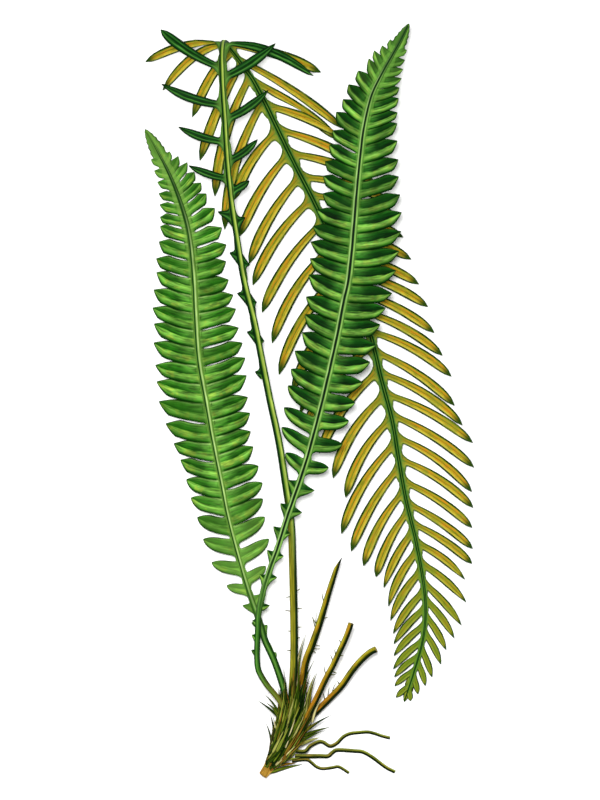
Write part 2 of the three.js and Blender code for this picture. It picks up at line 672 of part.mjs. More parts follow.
function scales() {
  const draw = draws(SCALES.seed);
  const blades = [];
  for (let k = 0; k < SCALES.count; k++) {
    const along = coreAxis.length * (SCALES.from + (SCALES.span * k) / SCALES.count);
    const across = Math.cos(GOLDEN * k);
    const above = Math.sin(GOLDEN * k);
    if (above < SCALES.bare) continue;
    const forward = coreAxis.forward(along);
    const right = forward.clone().cross(UP).normalize();
    const up = right.clone().cross(forward).normalize();
    const out = right.multiplyScalar(across).addScaledVector(up, above).normalize();
    const side = forward.clone().cross(out).normalize();
    const length = draw(...SCALES.length);
    const flare = draw(...SCALES.flare);
    const sway = draw(-SCALES.sway, SCALES.sway);
    const wide = keyed(coreWidth, along) * Math.abs(across);
    const high = keyed(coreHeight, along) * Math.abs(above);
    const depth = Math.min(wide + high, SCALES.deepest) - SCALES.sink;
    const root = coreAxis.point(along).addScaledVector(out, depth);
    const middle = (t) => {
      const p = root.clone()
        .addScaledVector(forward, length * t)
        .addScaledVector(out, length * (flare * t + SCALES.curl * t * t))
        .addScaledVector(side, length * sway * t * t);
      p.z = Math.max(p.z, SCALES.clear);
      return p;
    };
    const rings = SCALES.outline.map(([t, share]) => [
      middle(t).addScaledVector(side, SCALES.width * share),
      middle(t).addScaledVector(out, SCALES.thickness),
      middle(t).addScaledVector(side, -SCALES.width * share),
    ]);
    blades.push(loft([...rings, [middle(1)]]));
  }
  return blades;
}

const BELOW = 100; // half the size of the block that stands for the ground

// The rootstock, cut flat where it rests, with an open socket round every stem that stands in it.
function rootstock() {
  const corners = [[-1, -1], [1, -1], [1, 1], [-1, 1]];
  const square = (z) => corners.map(([x, y]) => vec(x * BELOW, y * BELOW, z));
  const below = loft([square(-BELOW), square(0)]);
  const held = [leftFrond, rightFrond, fertileFrond, ...Object.values(stubs), ...Object.values(roots)];
  const sockets = held.map((thing) => stem(thing, GAP));
  const whole = fuse([rootstockCore(), ...scales()]);
  const open = [below, ...sockets].reduce((rest, cutter) => rest.subtract(cutter), whole);
  return fuse([open]);
}

const FINISH = {
  scales: { colour: 0x8a7a2c, roughness: 0.85 },
  lightGreen: { colour: 0x5f8f2e, roughness: 0.6 },
  darkGreen: { colour: 0x2f6a1f, roughness: 0.6 },
  greenAndSpores: { colour: 0x8a7a1c, roughness: 0.6 },
  oldStipe: { colour: 0x8a6a24, roughness: 0.75 },
  root: { colour: 0x6b4a22, roughness: 0.85 },
};

const group = new THREE.Group();
group.name = 'deer_fern';
group.add(meshOf(rootstock(), 'rootstock', FINISH.scales));
group.add(meshOf(frondSolid(leftFrond), 'sterile_frond_left', FINISH.lightGreen));
group.add(meshOf(frondSolid(rightFrond), 'sterile_frond_right', FINISH.darkGreen));
group.add(meshOf(frondSolid(fertileFrond), 'fertile_frond', FINISH.greenAndSpores));
for (const [name, stub] of Object.entries(stubs)) group.add(meshOf(stem(stub), name, FINISH.oldStipe));
for (const [name, root] of Object.entries(roots)) group.add(meshOf(stem(root), name, FINISH.root));

export default group;
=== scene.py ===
# %% [markdown]
# # Deer fern, lifted with its rootstock and laid on a table
#
# The plant is a scaly rootstock that holds two leafy sterile fronds, one fertile frond that has bent
# over backwards, the stubs of three old fronds, and three wiry roots. It lies on a pale table and is
# looked at from straight above.
#
# The imported CAD part gives the true size and place of every piece. It could be shown as it is, but
# its leaflets are flat facets, made for weighing and for collisions. So each of its solids is replaced
# by a finer piece that follows the same measurements, and the solids stay hidden as the frame.

# %% Load the imported part and keep its box
import math
import random

import bmesh
import bpy
from mathutils import Matrix, Vector
from mathutils.geometry import interpolate_bezier


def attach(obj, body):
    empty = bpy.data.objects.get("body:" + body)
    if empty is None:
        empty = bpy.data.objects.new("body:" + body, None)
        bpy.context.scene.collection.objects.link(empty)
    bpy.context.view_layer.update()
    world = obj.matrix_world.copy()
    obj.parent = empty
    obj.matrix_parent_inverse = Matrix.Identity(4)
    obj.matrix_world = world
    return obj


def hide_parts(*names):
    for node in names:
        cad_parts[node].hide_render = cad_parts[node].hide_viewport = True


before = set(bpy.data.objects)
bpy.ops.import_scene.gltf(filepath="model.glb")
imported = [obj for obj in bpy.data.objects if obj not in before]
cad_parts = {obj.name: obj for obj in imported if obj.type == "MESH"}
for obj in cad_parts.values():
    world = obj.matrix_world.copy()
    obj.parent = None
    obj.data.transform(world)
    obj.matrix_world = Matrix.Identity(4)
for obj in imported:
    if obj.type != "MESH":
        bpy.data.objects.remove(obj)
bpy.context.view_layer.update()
print("nodes:", sorted(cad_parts))

# %% [markdown]
# ## Camera, table and light
#
# A botanical plate has no perspective: every piece is drawn as if seen from right above it. A camera
# near the table would spread the raised fronds outwards. An orthographic camera would cure that, but a
# very long lens from far away gives nearly the same picture and still works from other sides.
#
# The light is as plain as the plate's: one soft lamp close to the camera's own line, a little to the
# left, and a pale sky that fills the rest. A lamp far to one side would throw grey shadows beside the
# raised fronds. From here they stay hidden under the leaves, and the table turns as white as paper.

# %% The camera looks straight down on the plate's middle
MM = 0.001
PLATE_WIDTH = 600
PLATE_HEIGHT = 800
MM_PER_PIXEL = 0.5
ORIGIN_PIXEL = (284, 752)
CAMERA_HEIGHT = 12.0
SENSOR = 36.0
SEEN_TO = 240.0  # from a low angle the far side of the table is still seen

middle_x = (PLATE_WIDTH / 2 - ORIGIN_PIXEL[0]) * MM_PER_PIXEL * MM
middle_y = (ORIGIN_PIXEL[1] - PLATE_HEIGHT / 2) * MM_PER_PIXEL * MM
view_height = PLATE_HEIGHT * MM_PER_PIXEL * MM

camera_data = bpy.data.cameras.new("plate_camera")
camera_data.sensor_width = SENSOR
camera_data.lens = SENSOR * CAMERA_HEIGHT / view_height
camera_data.clip_end = SEEN_TO
camera = bpy.data.objects.new("plate_camera", camera_data)
camera.location = (middle_x, middle_y, CAMERA_HEIGHT)
bpy.context.scene.collection.objects.link(camera)
bpy.context.scene.camera = camera
print("lens in mm:", round(camera_data.lens), "looking at", (round(middle_x, 3), round(middle_y, 3)))


# %% Short ways to build a material from nodes
BRIGHTNESS = 1.6  # how bright the light is: tints are given as they look in it


def colour(code):
    """A tint as it looks on the lit plate, from its six-figure sRGB code, as the shader's value."""
    parts = [int(code[start:start + 2], 16) / 255 for start in (0, 2, 4)]
    linear = [part / 12.92 if part <= 0.04045 else ((part + 0.055) / 1.055) ** 2.4 for part in parts]
    return (*[part / BRIGHTNESS for part in linear], 1.0)


def new_material(name, roughness, gloss=0.03):
    """A material, its node tree and its shader."""
    material = bpy.data.materials.new(name)
    material.use_nodes = True
    tree = material.node_tree
    shader = tree.nodes["Principled BSDF"]
    shader.inputs["Roughness"].default_value = roughness
    shader.inputs["Specular IOR Level"].default_value = gloss
    return material, tree, shader


def add_node(tree, kind, sockets, **settings):
    """A node with its settings. Each socket is given a value or another node's output."""
    node = tree.nodes.new(kind)
    for name, value in settings.items():
        setattr(node, name, value)
    for name, value in sockets.items():
        if isinstance(value, bpy.types.NodeSocket):
            tree.links.new(value, node.inputs[name])
        else:
            node.inputs[name].default_value = value
    return node


def calculate(tree, operation, first, second=0.0):
    """One sum on one or two numbers."""
    return add_node(tree, "ShaderNodeMath", {0: first, 1: second}, operation=operation).outputs[0]


# %% Sums, fades and blends of colours
def times(tree, first, second):
    """Two numbers multiplied."""
    return calculate(tree, "MULTIPLY", first, second)


def fade(tree, value, start, end, strength=1.0):
    """0 before start, the full strength after end, and a smooth step between. It also runs downwards."""
    sockets = {"Value": value, "From Min": start, "From Max": end, "To Max": strength}
    return add_node(tree, "ShaderNodeMapRange", sockets, interpolation_type="SMOOTHSTEP").outputs[0]


def blend(tree, share, first, second):
    """A colour between two colours."""
    mix = add_node(tree, "ShaderNodeMix", {0: share, 6: first, 7: second}, data_type="RGBA")
    return mix.outputs[2]


def painted(tree, ground, coats):
    """The ground with other colours laid over it in turn, each (share, colour)."""
    for share, coat in coats:
        ground = blend(tree, share, ground, coat)
    return ground


def bands(tree, value, stops):
    """Colours by a value, each stop (value, code), such as the bands across a leaflet."""
    node = add_node(tree, "ShaderNodeValToRGB", {"Fac": value})
    elements = node.color_ramp.elements
    while len(elements) < len(stops):
        elements.new(0.5)
    for element, (position, code) in zip(elements, stops):
        element.position = position
        element.color = colour(code)
    return node.outputs[0]


def graded(tree, tint, value, start, end, at_start, at_end):
    """The tint's brightness times one number at start of a value, and times another at its end."""
    sockets = {"Value": value, "From Min": start, "From Max": end, "To Min": at_start, "To Max": at_end}
    factor = add_node(tree, "ShaderNodeMapRange", sockets).outputs[0]
    return add_node(tree, "ShaderNodeHueSaturation", {"Value": factor, "Color": tint}).outputs[0]


def noise(tree, vector, scale, detail=2.0):
    """Soft grain between 0 and 1."""
    sockets = {"Vector": vector, "Scale": scale, "Detail": detail}
    return add_node(tree, "ShaderNodeTexNoise", sockets).outputs["Fac"]


# %% Patterns, and the last step of every finish
def grain(tree, scale):
    """Soft grain that fills the piece's own space, scale in lumps a metre."""
    return noise(tree, add_node(tree, "ShaderNodeTexCoord", {}).outputs["Object"], scale)


def stored(tree, name):
    """A number that each point of the mesh carries."""
    return add_node(tree, "ShaderNodeAttribute", {}, attribute_name=name).outputs["Fac"]


def stretched(tree, along, across, seed=0.0):
    """A vector for noise that runs in long streaks, because across changes faster than along."""
    return add_node(tree, "ShaderNodeCombineXYZ", {"X": along, "Y": across, "Z": seed}).outputs[0]


def finished(material, tint, height, strength, depth):
    """Gives the material its colour and small relief, depth in metres."""
    tree = material.node_tree
    shader = tree.nodes["Principled BSDF"]
    tree.links.new(tint, shader.inputs["Base Color"])
    bump = add_node(tree, "ShaderNodeBump", {"Height": height, "Strength": strength, "Distance": depth})
    tree.links.new(bump.outputs[0], shader.inputs["Normal"])
    return material


print("white on the lit plate:", colour("ffffff"))

# %% The table is a wide pale board
TABLE_SIZE = 6.0
paper, _, paper_shader = new_material("table_white", 0.9)
paper_shader.inputs["Base Color"].default_value = (0.96, 0.96, 0.955, 1.0)

bm = bmesh.new()
bmesh.ops.create_grid(bm, x_segments=1, y_segments=1, size=TABLE_SIZE / 2)
table_mesh = bpy.data.meshes.new("table")
bm.to_mesh(table_mesh)
bm.free()
table = bpy.data.objects.new("table", table_mesh)
table.data.materials.append(paper)
bpy.context.scene.collection.objects.link(table)
print("table side in metres:", TABLE_SIZE)

# %% One large soft lamp and a pale sky
LAMP_PLACE = (-0.1, 0.36, 2.6)
LAMP_SIZE = 0.4
LAMP_POWER = 76
SKY_STRENGTH = 0.6

lamp_data = bpy.data.lights.new("window", "AREA")
lamp_data.shape = "SQUARE"
lamp_data.size = LAMP_SIZE
lamp_data.energy = LAMP_POWER
lamp = bpy.data.objects.new("window", lamp_data)
lamp.location = LAMP_PLACE
towards = Vector((middle_x, middle_y, 0)) - lamp.location
lamp.rotation_euler = towards.to_track_quat("-Z", "Y").to_euler()
bpy.context.scene.collection.objects.link(lamp)
sky = bpy.data.worlds.new("sky")
sky.use_nodes = True
sky.node_tree.nodes["Background"].inputs["Color"].default_value = (1, 1, 1, 1)
sky.node_tree.nodes["Background"].inputs["Strength"].default_value = SKY_STRENGTH
bpy.context.scene.world = sky
bpy.context.scene.view_settings.view_transform = "Standard"
print("lamp watts:", LAMP_POWER, "sky:", SKY_STRENGTH)

# %% [markdown]
# ## Measurements and smooth lines
#
# Every frond was measured: a line of points along its rib, and for its leaflets the length,
# angle, width and bend at a few places. Typing each leaflet would be long and stiff. Instead a value
# between two given keys is read off the straight line between them, and a rib is a smooth curve
# through its points, read by the distance along it. Blender's own interpolate_bezier draws each
# stretch of that curve. All these numbers are millimetres, and a finished piece is scaled to metres.


# %% A value between given keys
def keyed(keys, place):
    """The value at a place between given keys, each (place, value)."""
    if place <= keys[0][0]:
        return keys[0][1]
    for (start, before), (end, value) in zip(keys, keys[1:]):
        if place <= end:
            return before + (value - before) * (place - start) / (end - start)
    return keys[-1][1]


def keyed_direction(keys, place):
    """A direction at a place between keys, each (place, x, y, z)."""
    parts = [keyed([(key[0], key[axis]) for key in keys], place) for axis in (1, 2, 3)]
    return Vector(parts).normalized()


print("halfway between 2 and 4:", keyed([(0, 2), (10, 4)], 5))


# %% A smooth line read by the distance along it
class Route:
    """A smooth line through points, read by the distance along it in millimetres."""

    STEPS = 40

    def __init__(self, points):
        knots = [Vector(p) for p in points]
        knots = [2 * knots[0] - knots[1], *knots, 2 * knots[-1] - knots[-2]]
        self.samples = [knots[1]]
        for before, start, end, after in zip(knots, knots[1:], knots[2:], knots[3:]):
            handles = (start + (end - before) / 6, end - (after - start) / 6)
            self.samples += interpolate_bezier(start, *handles, end, self.STEPS + 1)[1:]
        self.distances = [0.0]
        for a, b in zip(self.samples, self.samples[1:]):
            self.distances.append(self.distances[-1] + (b - a).length)
        self.length = self.distances[-1]

    def point(self, along):
        """The place at a distance along the line."""
        along = min(max(along, 0.0), self.length)
        low, high = 0, len(self.distances) - 1
        while high - low > 1:
            half = (low + high) // 2
            if self.distances[half] <= along:
                low = half
            else:
                high = half
        stretch = self.distances[high] - self.distances[low]
        return self.samples[low].lerp(self.samples[high], (along - self.distances[low]) / stretch)

    def forward(self, along, near=0.3):
        """The direction of the line there."""
        before = self.point(min(along, self.length - near) - near)
        return (self.point(max(along, near) + near) - before).normalized()


def rib_frame(frond, along):
    """The rib's place and directions: forward to the tip, face out of its upper side, right across."""
    forward = frond["path"].forward(along)
    face = keyed_direction(frond["face"], along)
    face = (face - forward * face.dot(forward)).normalized()
    return frond["path"].point(along), forward, face, forward.cross(face)


# %% [markdown]
# ## The three fronds in numbers
#
# `along` gives the leaflets' places on the rib by their number, `length` their lengths, and `angle`
# how far each one leans out from the rib in degrees. `bow` bends a leaflet towards the frond's tip,
# `lift` and `droop` raise and lower it, `twist` turns it about its own line, `swell` rounds its halves,
# and `wing` is how far out the blade joins it to its neighbours. `fullness` narrows the lower leaflets,
# which have an outline of their own up to `low_until`. `gaps` are the widths of the slits between
# neighbours, and one of them is drawn for each pair. The face keys say which way a rib's upper side
# looks: the fertile frond's turn right over at its arch, so that its underside with the spore bands
# comes to lie upwards.
#
# A leaflet takes one of the outlines below: its edges ahead and behind, or the one of the short
# leaflets if it is shorter than `short`. `round` is the most that the corner between two leaflets is
# rounded. `rib` is the half width of the rib's tube, and `radius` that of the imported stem, which places
# the hairs and the ends of the blade. The end lobe carries the rib on to the frond's tip.

# %% Edges of the leaflets: (share of the way from rib to tip, share of the half width)
EAR_EDGE = [(0, 1.7), (0.3, 1.25), (0.6, 0.75), (0.85, 0.32), (1, 0)]
LOW_EDGE = [(0, 1.5), (0.3, 1.38), (0.6, 1.25), (0.78, 0.96), (0.9, 0.58), (0.97, 0.22), (1, 0)]
STERILE_AHEAD = [(0, 1.3), (0.5, 1.26), (0.66, 1.12), (0.8, 0.8), (0.92, 0.36), (1, 0)]
STERILE_BEHIND = [(0, 1.3), (0.5, 1.34), (0.66, 1.24), (0.78, 0.9), (0.88, 0.52), (0.95, 0.24), (1, 0)]
STERILE_SHORT = [(0, 1.3), (0.35, 1.25), (0.55, 0.95), (0.75, 0.6), (0.9, 0.27), (1, 0)]
FERTILE_SHORT = [(0, 0.66), (0.3, 0.9), (0.58, 0.98), (0.76, 0.78), (0.9, 0.4), (1, 0)]
FERTILE_EDGE = [
    (0, 0.66), (0.15, 0.7), (0.4, 0.9), (0.7, 1.04), (0.84, 0.94), (0.92, 0.68), (0.96, 0.36), (1, 0),
]
sterile_edges = {
    "edge_ahead": STERILE_AHEAD,
    "edge_behind": STERILE_BEHIND,
    "edge_short": STERILE_SHORT,
    "short": 13,
    "round": [(0, 1.2)],
}
print("a sterile leaflet's edge ahead is drawn through", len(STERILE_AHEAD), "points")

# %% The left sterile frond, which lies flat
left_frond = {
    "path": Route([
        (2.5, 16, 4.2), (1, 26, 4.4), (-1.5, 36, 4.6), (-5, 46, 4.8), (-9.5, 56, 5), (-12.5, 66, 5.2),
        (-17, 78.5, 5.4), (-22, 95, 5.8), (-27.5, 116, 6.2), (-31.5, 136, 6.5), (-35.5, 156, 6.7),
        (-39, 176, 6.8), (-42.5, 196, 6.7), (-44, 216, 6.4), (-45, 236, 5.9), (-47, 256, 5.1),
        (-50, 269.5, 4.5), (-56, 286, 3.6), (-63.5, 301, 2.4), (-69.5, 311.5, 1.2),
    ]),
    "face": [(0, 0, 0, 1)],
    "radius": [(0, 1.15), (60, 1.1), (200, 0.95), (304, 0.55)],
    "rib": [
        (0, 1.3), (20, 1.7), (50, 1.7), (75, 1.25), (130, 1.3), (180, 1.6), (220, 1.6), (260, 1.2),
        (300, 0.55),
    ],
    "rib_flat": 0.62,
    "end_lobe": 15,
    "end_width": 3.9,
    "seed": 3,
    "gaps": (0, 0, 0, 0.8, 1.2),
}
left_across = {
    **sterile_edges,
    "width": [(30, 3), (60, 3.6), (80, 5.8), (100, 7.4), (140, 8.6), (230, 8.4), (260, 7.4), (290, 5.2)],
    "fullness": [(60, 0.84), (85, 0.84), (110, 0.86), (135, 1)],
    "low_until": 125,
    "swell": 0.32,
    "lift": [(0, 0.12), (304, 0.05)],
    "droop": [(0, 0.34), (200, 0.36), (304, 0.1)],
}
left_frond["rows"] = [
    {
        **left_across,
        "side": -1,
        "count": 28,
        "along": [
            (0, 50), (2, 68.7), (5, 101.8), (9, 139.1), (13, 179), (17, 214.2), (21, 249), (24, 268.6),
            (27, 287.5),
        ],
        "length": [
            (0, 4.6), (1, 5.8), (2, 11.1), (3, 15.5), (6, 18.2), (9, 21.3), (11, 25), (13, 23.8),
            (16, 22.8), (19, 18.7), (22, 13.1), (25, 8.7), (27, 6.2),
        ],
        "angle": [(0, 60), (106, 62), (152, 67), (243, 67), (280, 55), (304, 35)],
        "bow": [(0, 0.16), (120, 0.22), (304, 0.2)],
        "wing": [(40, 1.224), (80, 1.632), (130, 2.448), (230, 2.72), (290, 3.9)],
    },
    {
        **left_across,
        "side": 1,
        "count": 30,
        "along": [
            (0, 33), (2, 62.4), (5, 96.8), (9, 133.7), (13, 168.9), (17, 205.4), (21, 238.3),
            (24, 261.1), (27, 277), (29, 287),
        ],
        "length": [
            (0, 2.7), (1, 3.5), (2, 6), (3, 12), (4, 18), (7, 20), (9, 19.3), (12, 21), (14, 23.6),
            (17, 21), (19, 17.5), (21, 17.8), (24, 14.8), (26, 13.4), (27, 12), (29, 6.6),
        ],
        "angle": [(0, 60), (91, 75), (152, 79), (243, 75), (280, 60), (304, 35)],
        "bow": [(0, 0.16), (120, 0.2), (304, 0.2)],
        "wing": [(40, 1.088), (80, 1.632), (130, 2.448), (230, 2.72), (290, 3.9)],
    },
]
print("left frond:", round(left_frond["path"].length), "mm,", [r["count"] for r in left_frond["rows"]])

# %% The right sterile frond, which arches over the other two
right_frond = {
    "path": Route([
        (1.2, 13, 11.4), (0.5, 20, 11.8), (-2, 25.5, 12.1), (-5, 29.5, 12.4), (-8, 33, 12.7),
        (-11, 37.5, 13), (-13, 42, 13.3), (-13.5, 48.5, 13.8), (-13.3, 56, 14.4), (-13, 62, 15),
        (-12.8, 68.5, 15.6), (-10.3, 81, 17), (-6.8, 92, 18.3), (-3, 102.5, 19.4), (1.5, 117, 20.8),
        (5, 127, 21.8), (9, 138.5, 23), (12.8, 151, 24.3), (16.8, 166, 25.7), (20, 178.5, 26.7),
        (23.8, 195, 27.8), (27.3, 211, 28.6), (29.8, 224.5, 29.1), (32.3, 236, 29.4), (34, 251, 29.6),
        (35.3, 266, 29.6), (36.5, 281, 29.4), (38, 296, 29), (40, 312, 28.4), (43.5, 327, 27.6),
        (48, 337, 27), (53.5, 347, 26.3), (58, 355, 25.7), (62.5, 364, 25),
    ]),
    "face": [(0, 0, 0, 1)],
    "radius": [(0, 1.15), (80, 1.1), (240, 0.95), (368, 0.55)],
    "rib": [(0, 1.3), (30, 1.5), (60, 1.5), (120, 1.6), (240, 1.8), (320, 1.45), (364, 0.9)],
    "rib_flat": 0.58,
    "end_lobe": 15,
    "end_width": 3.9,
    "seed": 5,
    "gaps": (0, 0, 0, 0, 1.0),
}
right_across = {
    **sterile_edges,
    "width": [
        (40, 2.6), (60, 3.2), (110, 4.6), (150, 6.8), (190, 8.2), (290, 8.6), (320, 7.8), (350, 5.6),
    ],
    "fullness": [(90, 0.84), (150, 0.82), (175, 0.88), (195, 1)],
    "low_until": 180,
    "swell": 0.36,
    "bow": [(0, 0.14), (180, 0.22), (369, 0.2)],
    "lift": [(0, 0.08)],
    "droop": [(0, 0.1), (200, 0.22), (369, 0.12)],
    "wing": [(60, 1.088), (130, 1.632), (180, 2.448), (300, 2.72), (350, 3.9)],
}
right_frond["rows"] = [
    {
        **right_across,
        "side": -1,
        "count": 35,
        "along": [
            (0, 41), (2, 56), (3, 78), (7, 127), (11, 169.4), (15, 207.2), (19, 246.4), (23, 278.3),
            (27, 308.1), (31, 335.5), (34, 351.3),
        ],
        "length": [
            (0, 3), (2, 3), (3, 4.2), (5, 5.6), (7, 6), (8, 11.7), (9, 17), (12, 20), (14, 18.5),
            (17, 21), (19, 22), (22, 18.3), (25, 17.5), (27, 16.5), (30, 13), (32, 10.9), (34, 6.6),
        ],
        "angle": [(0, 60), (148, 72), (258, 76), (313, 62), (350, 48), (369, 32)],
    },
    {
        **right_across,
        "side": 1,
        "count": 32,
        "along": [
            (0, 64), (1, 79.6), (4, 114.5), (8, 162.4), (12, 201.2), (16, 235.9), (20, 269.9),
            (24, 305.4), (28, 334.1), (31, 350.5),
        ],
        "length": [
            (0, 5), (3, 3.9), (5, 8.3), (7, 15), (9, 16.4), (11, 19), (13, 20), (15, 23.2), (17, 24.5),
            (20, 23.5), (23, 19.7), (26, 16.4), (28, 12), (31, 6.9),
        ],
        "angle": [(0, 60), (110, 78), (221, 77), (295, 64), (340, 52), (369, 32)],
    },
]
print("right frond:", round(right_frond["path"].length), "mm,", [r["count"] for r in right_frond["rows"]])

# %% The fertile frond, which rises, arches over backwards and comes down upside down
fertile_frond = {
    "path": Route([
        (3.5, 10, 8.5), (4, 26, 9), (5, 46, 9.6), (5, 66, 10.3), (4.3, 96, 12), (3.5, 115, 13),
        (0.5, 136, 14.5), (-2.7, 156, 16), (-7, 176, 18), (-11, 196, 20), (-15, 216, 22),
        (-20, 236, 24.2), (-23.3, 256, 26.5), (-26.3, 276, 29), (-28.3, 296, 31.5), (-29.5, 316, 34.5),
        (-30.5, 331, 36.5), (-31, 341, 36.6), (-31, 350, 33.5), (-30.5, 354, 27), (-29.5, 354.7, 21),
        (-27.5, 353, 13.5), (-24, 348.5, 8.2), (-19.5, 342, 6.2), (-15.5, 336, 5.8), (-9.5, 324.5, 5.6),
        (-3.5, 312, 5.5), (4.5, 295.5, 5.4), (14.5, 276, 5.3), (23, 258, 5.2), (31.8, 238, 5.1),
        (39.5, 218.5, 5), (44, 206, 5), (48.5, 187, 4.9), (54, 166, 4.7), (57.4, 146, 4.5),
        (61, 126, 4.2), (65.8, 106, 3.9), (69.5, 86, 3.5), (70.8, 71, 3.2), (69.4, 56, 2.9),
        (65, 40, 2.5), (60, 25, 1.8),
    ]),
    "face": [
        (0, 0, 0, 1), (320, 0, 0.1, 1), (345, 0, 0.8, 0.6), (360, 0, 1, 0), (374, 0.2, 0.6, -0.6),
        (392, 0, 0, -1),
    ],
    "radius": [(0, 2), (120, 1.9), (300, 1.7), (400, 1.6), (560, 1.4), (650, 1.1), (720, 0.6)],
    "rib": [
        (0, 2), (120, 1.9), (240, 1.6), (300, 1.3), (350, 1.25), (400, 1.5), (560, 1.4), (640, 1.1),
        (690, 0.6), (730, 0.2),
    ],
    "rib_flat": 1.0,
    "end_lobe": 10,
    "end_width": 2.6,
    "seed": 9,
    "gaps": (0,),
}
fertile_across = {
    "edge_ahead": FERTILE_EDGE,
    "edge_behind": FERTILE_EDGE,
    "edge_short": FERTILE_SHORT,
    "short": 34,
    "round": [(340, 2.4), (400, 4)],
    "fullness": [(0, 1)],
    "low_until": 0,
    "swell": -0.5,
    "lift": [(0, 0.05)],
    "wing": [
        (170, 1.224), (275, 1.224), (300, 1.728), (350, 1.728), (380, 2.304), (600, 2.448),
        (700, 1.728),
    ],
}
fertile_frond["rows"] = [
    {
        **fertile_across,
        "side": -1,
        "count": 42,
        "width": [
            (170, 4.4), (262, 4.4), (280, 4.2), (320, 5), (380, 5.4), (560, 5.3), (650, 4.6), (710, 3),
        ],
        "twist": [(336, 0), (356, 60), (365, 50), (372, 30), (380, 0)],
        "along": [
            (0, 180.5), (4, 261.5), (8, 336), (9, 356), (10, 365), (13, 388), (14, 402), (15, 418.7),
            (20, 482.3), (25, 549.3), (30, 610.7), (35, 661.7), (38, 687), (41, 710),
        ],
        "length": [
            (0, 5), (3, 5.2), (4, 8), (5, 21.6), (6, 25), (7, 32.4), (8, 37.5), (9, 40), (10, 35.5),
            (11, 33.5), (12, 49), (13, 63), (14, 66), (15, 42), (16, 49), (18, 52.6), (21, 60.6),
            (24, 52.7), (27, 47), (28, 53), (30, 42), (32, 33), (35, 26.8), (38, 20), (41, 9),
        ],
        "angle": [
            (170, 65), (319, 68), (336, 56), (356, 84), (365, 79), (372, 60), (380, 57), (388, 51),
            (402, 45), (419, 58), (445, 60), (495, 57), (549, 51), (589, 39), (662, 42), (710, 32),
        ],
        "bow": [
            (170, 0.1), (262, 0.12), (280, 0.2), (350, 0.2), (365, 0.1), (388, 0.24), (520, 0.3),
            (600, 0.26), (720, 0.14),
        ],
        "droop": [
            (170, 0.1), (345, 0.15), (356, 0.33), (365, 0.68), (372, 0.72), (380, 0.43), (388, 0.12),
            (402, 0.04), (720, 0.1),
        ],
    },
    {
        **fertile_across,
        "side": 1,
        "count": 43,
        "width": [
            (170, 4.4), (262, 4.4), (280, 4.2), (320, 5), (345, 5.8), (380, 5), (560, 4.7), (650, 4.2),
            (710, 3),
        ],
        "twist": [(331, 0), (353, 50), (366, -62), (378, 0)],
        "along": [
            (0, 197.9), (3, 258.1), (5, 288.9), (7, 331), (8, 353), (9, 366), (10, 378), (12, 405),
            (15, 445), (18, 475.4), (22, 518.2), (27, 572.1), (31, 617), (35, 657.7), (39, 690.5),
            (42, 712),
        ],
        "length": [
            (0, 3), (2, 4.7), (3, 6), (4, 10.8), (5, 19.1), (6, 25.4), (7, 32), (8, 45), (9, 48),
            (10, 61), (11, 50), (12, 38.6), (13, 45), (16, 44), (18, 43.6), (21, 45.4), (24, 48.9),
            (27, 49), (30, 42.9), (31, 39.9), (33, 31), (35, 27.7), (37, 20.1), (39, 15.9), (42, 6),
        ],
        "angle": [
            (180, 110), (240, 115), (258, 74), (289, 60), (331, 60), (353, 79), (366, 63), (378, 28),
            (392, 28), (405, 42), (433, 43), (465, 50), (498, 43), (528, 41), (550, 44), (600, 46),
            (637, 43), (660, 33), (698, 34), (712, 28),
        ],
        "bow": [
            (170, 0.1), (262, 0.12), (280, 0.2), (350, 0.2), (366, 0.1), (388, 0.18), (520, 0.24),
            (600, 0.24), (720, 0.14),
        ],
        "droop": [
            (170, 0.1), (320, 0.15), (340, 0.2), (353, 0.47), (366, 0.19), (378, 0.09), (392, 0.03),
            (720, 0.1),
        ],
    },
]
print("fertile frond:", round(fertile_frond["path"].length), "mm")

# %% [markdown]
# ## The blades of the fronds
#
# The leaflets of this fern aren't separate leaves. They grow together at their roots into a narrow
# wing along the rib, with a rounded corner between every two. One flat sheet could be cut out along
# that outline, but then it would have no cells to bend, fold or paint. So each leaflet starts as a
# grid, and each of its points is moved to its place along and across the leaflet. Neighbours share
# the points of their common line, where the doubles are merged, and a Solidify modifier gives the
# sheet its thickness, with one material above and another below.
#
# Each point also keeps what a finish needs to know. The UV map "leaflet" holds the centimetres along
# the leaflet and 0 to 1 across it, the UV map "frond" the share of the way from the wing to the tip
# and a tone of the leaflet's own, and the attribute "place" how far up the frond it grows.

# %% Sizes of the blades
SUNK = 0.15  # where a blade starts inside its rib, out from the rib's middle
FOLD = 0.13  # fall from midrib to edge, as a share of the half width
SLIT = 0.02  # narrowest gap between neighbouring leaflets
FLOOR = 0.3  # the blade's middle keeps this much above the table
PROUD = 0.25  # how far a blade without a neighbour stands out of its rib
WING_SHARE = 0.6  # the wing never takes more than this share of a leaflet
HALF_WIDTH = 0.12  # the least half width of a leaflet
TWISTED = 0.35  # the share of a leaflet over which it takes on its twist
NO_TWIST = [(0, 0)]
OPENING = [(0.1, 0.3), (0.28, 1), (0.55, 0.7), (0.8, 0)]  # how a wider gap opens along a leaflet
UNEVEN = {"angle": 2.0, "length": 0.03, "bow": 0.05}  # no two leaflets are quite alike
EAR = 9  # leaflets shorter than this on the lower half are small pointed ears
LEAST_CORNER = 0.5  # radius of the rounded corner between two leaflets that nearly touch
SWELL_RISES = 0.1  # the share of a leaflet over which its halves begin to swell
SWELL_FALLS = 0.08  # and the share before its tip over which they end
MEETING = 0.01  # points of neighbours nearer than this are one point
THICKNESS = 0.36
CELLS_ALONG = 20
CELLS_ACROSS = 8
print("grid of one leaflet:", CELLS_ALONG, "by", CELLS_ACROSS)


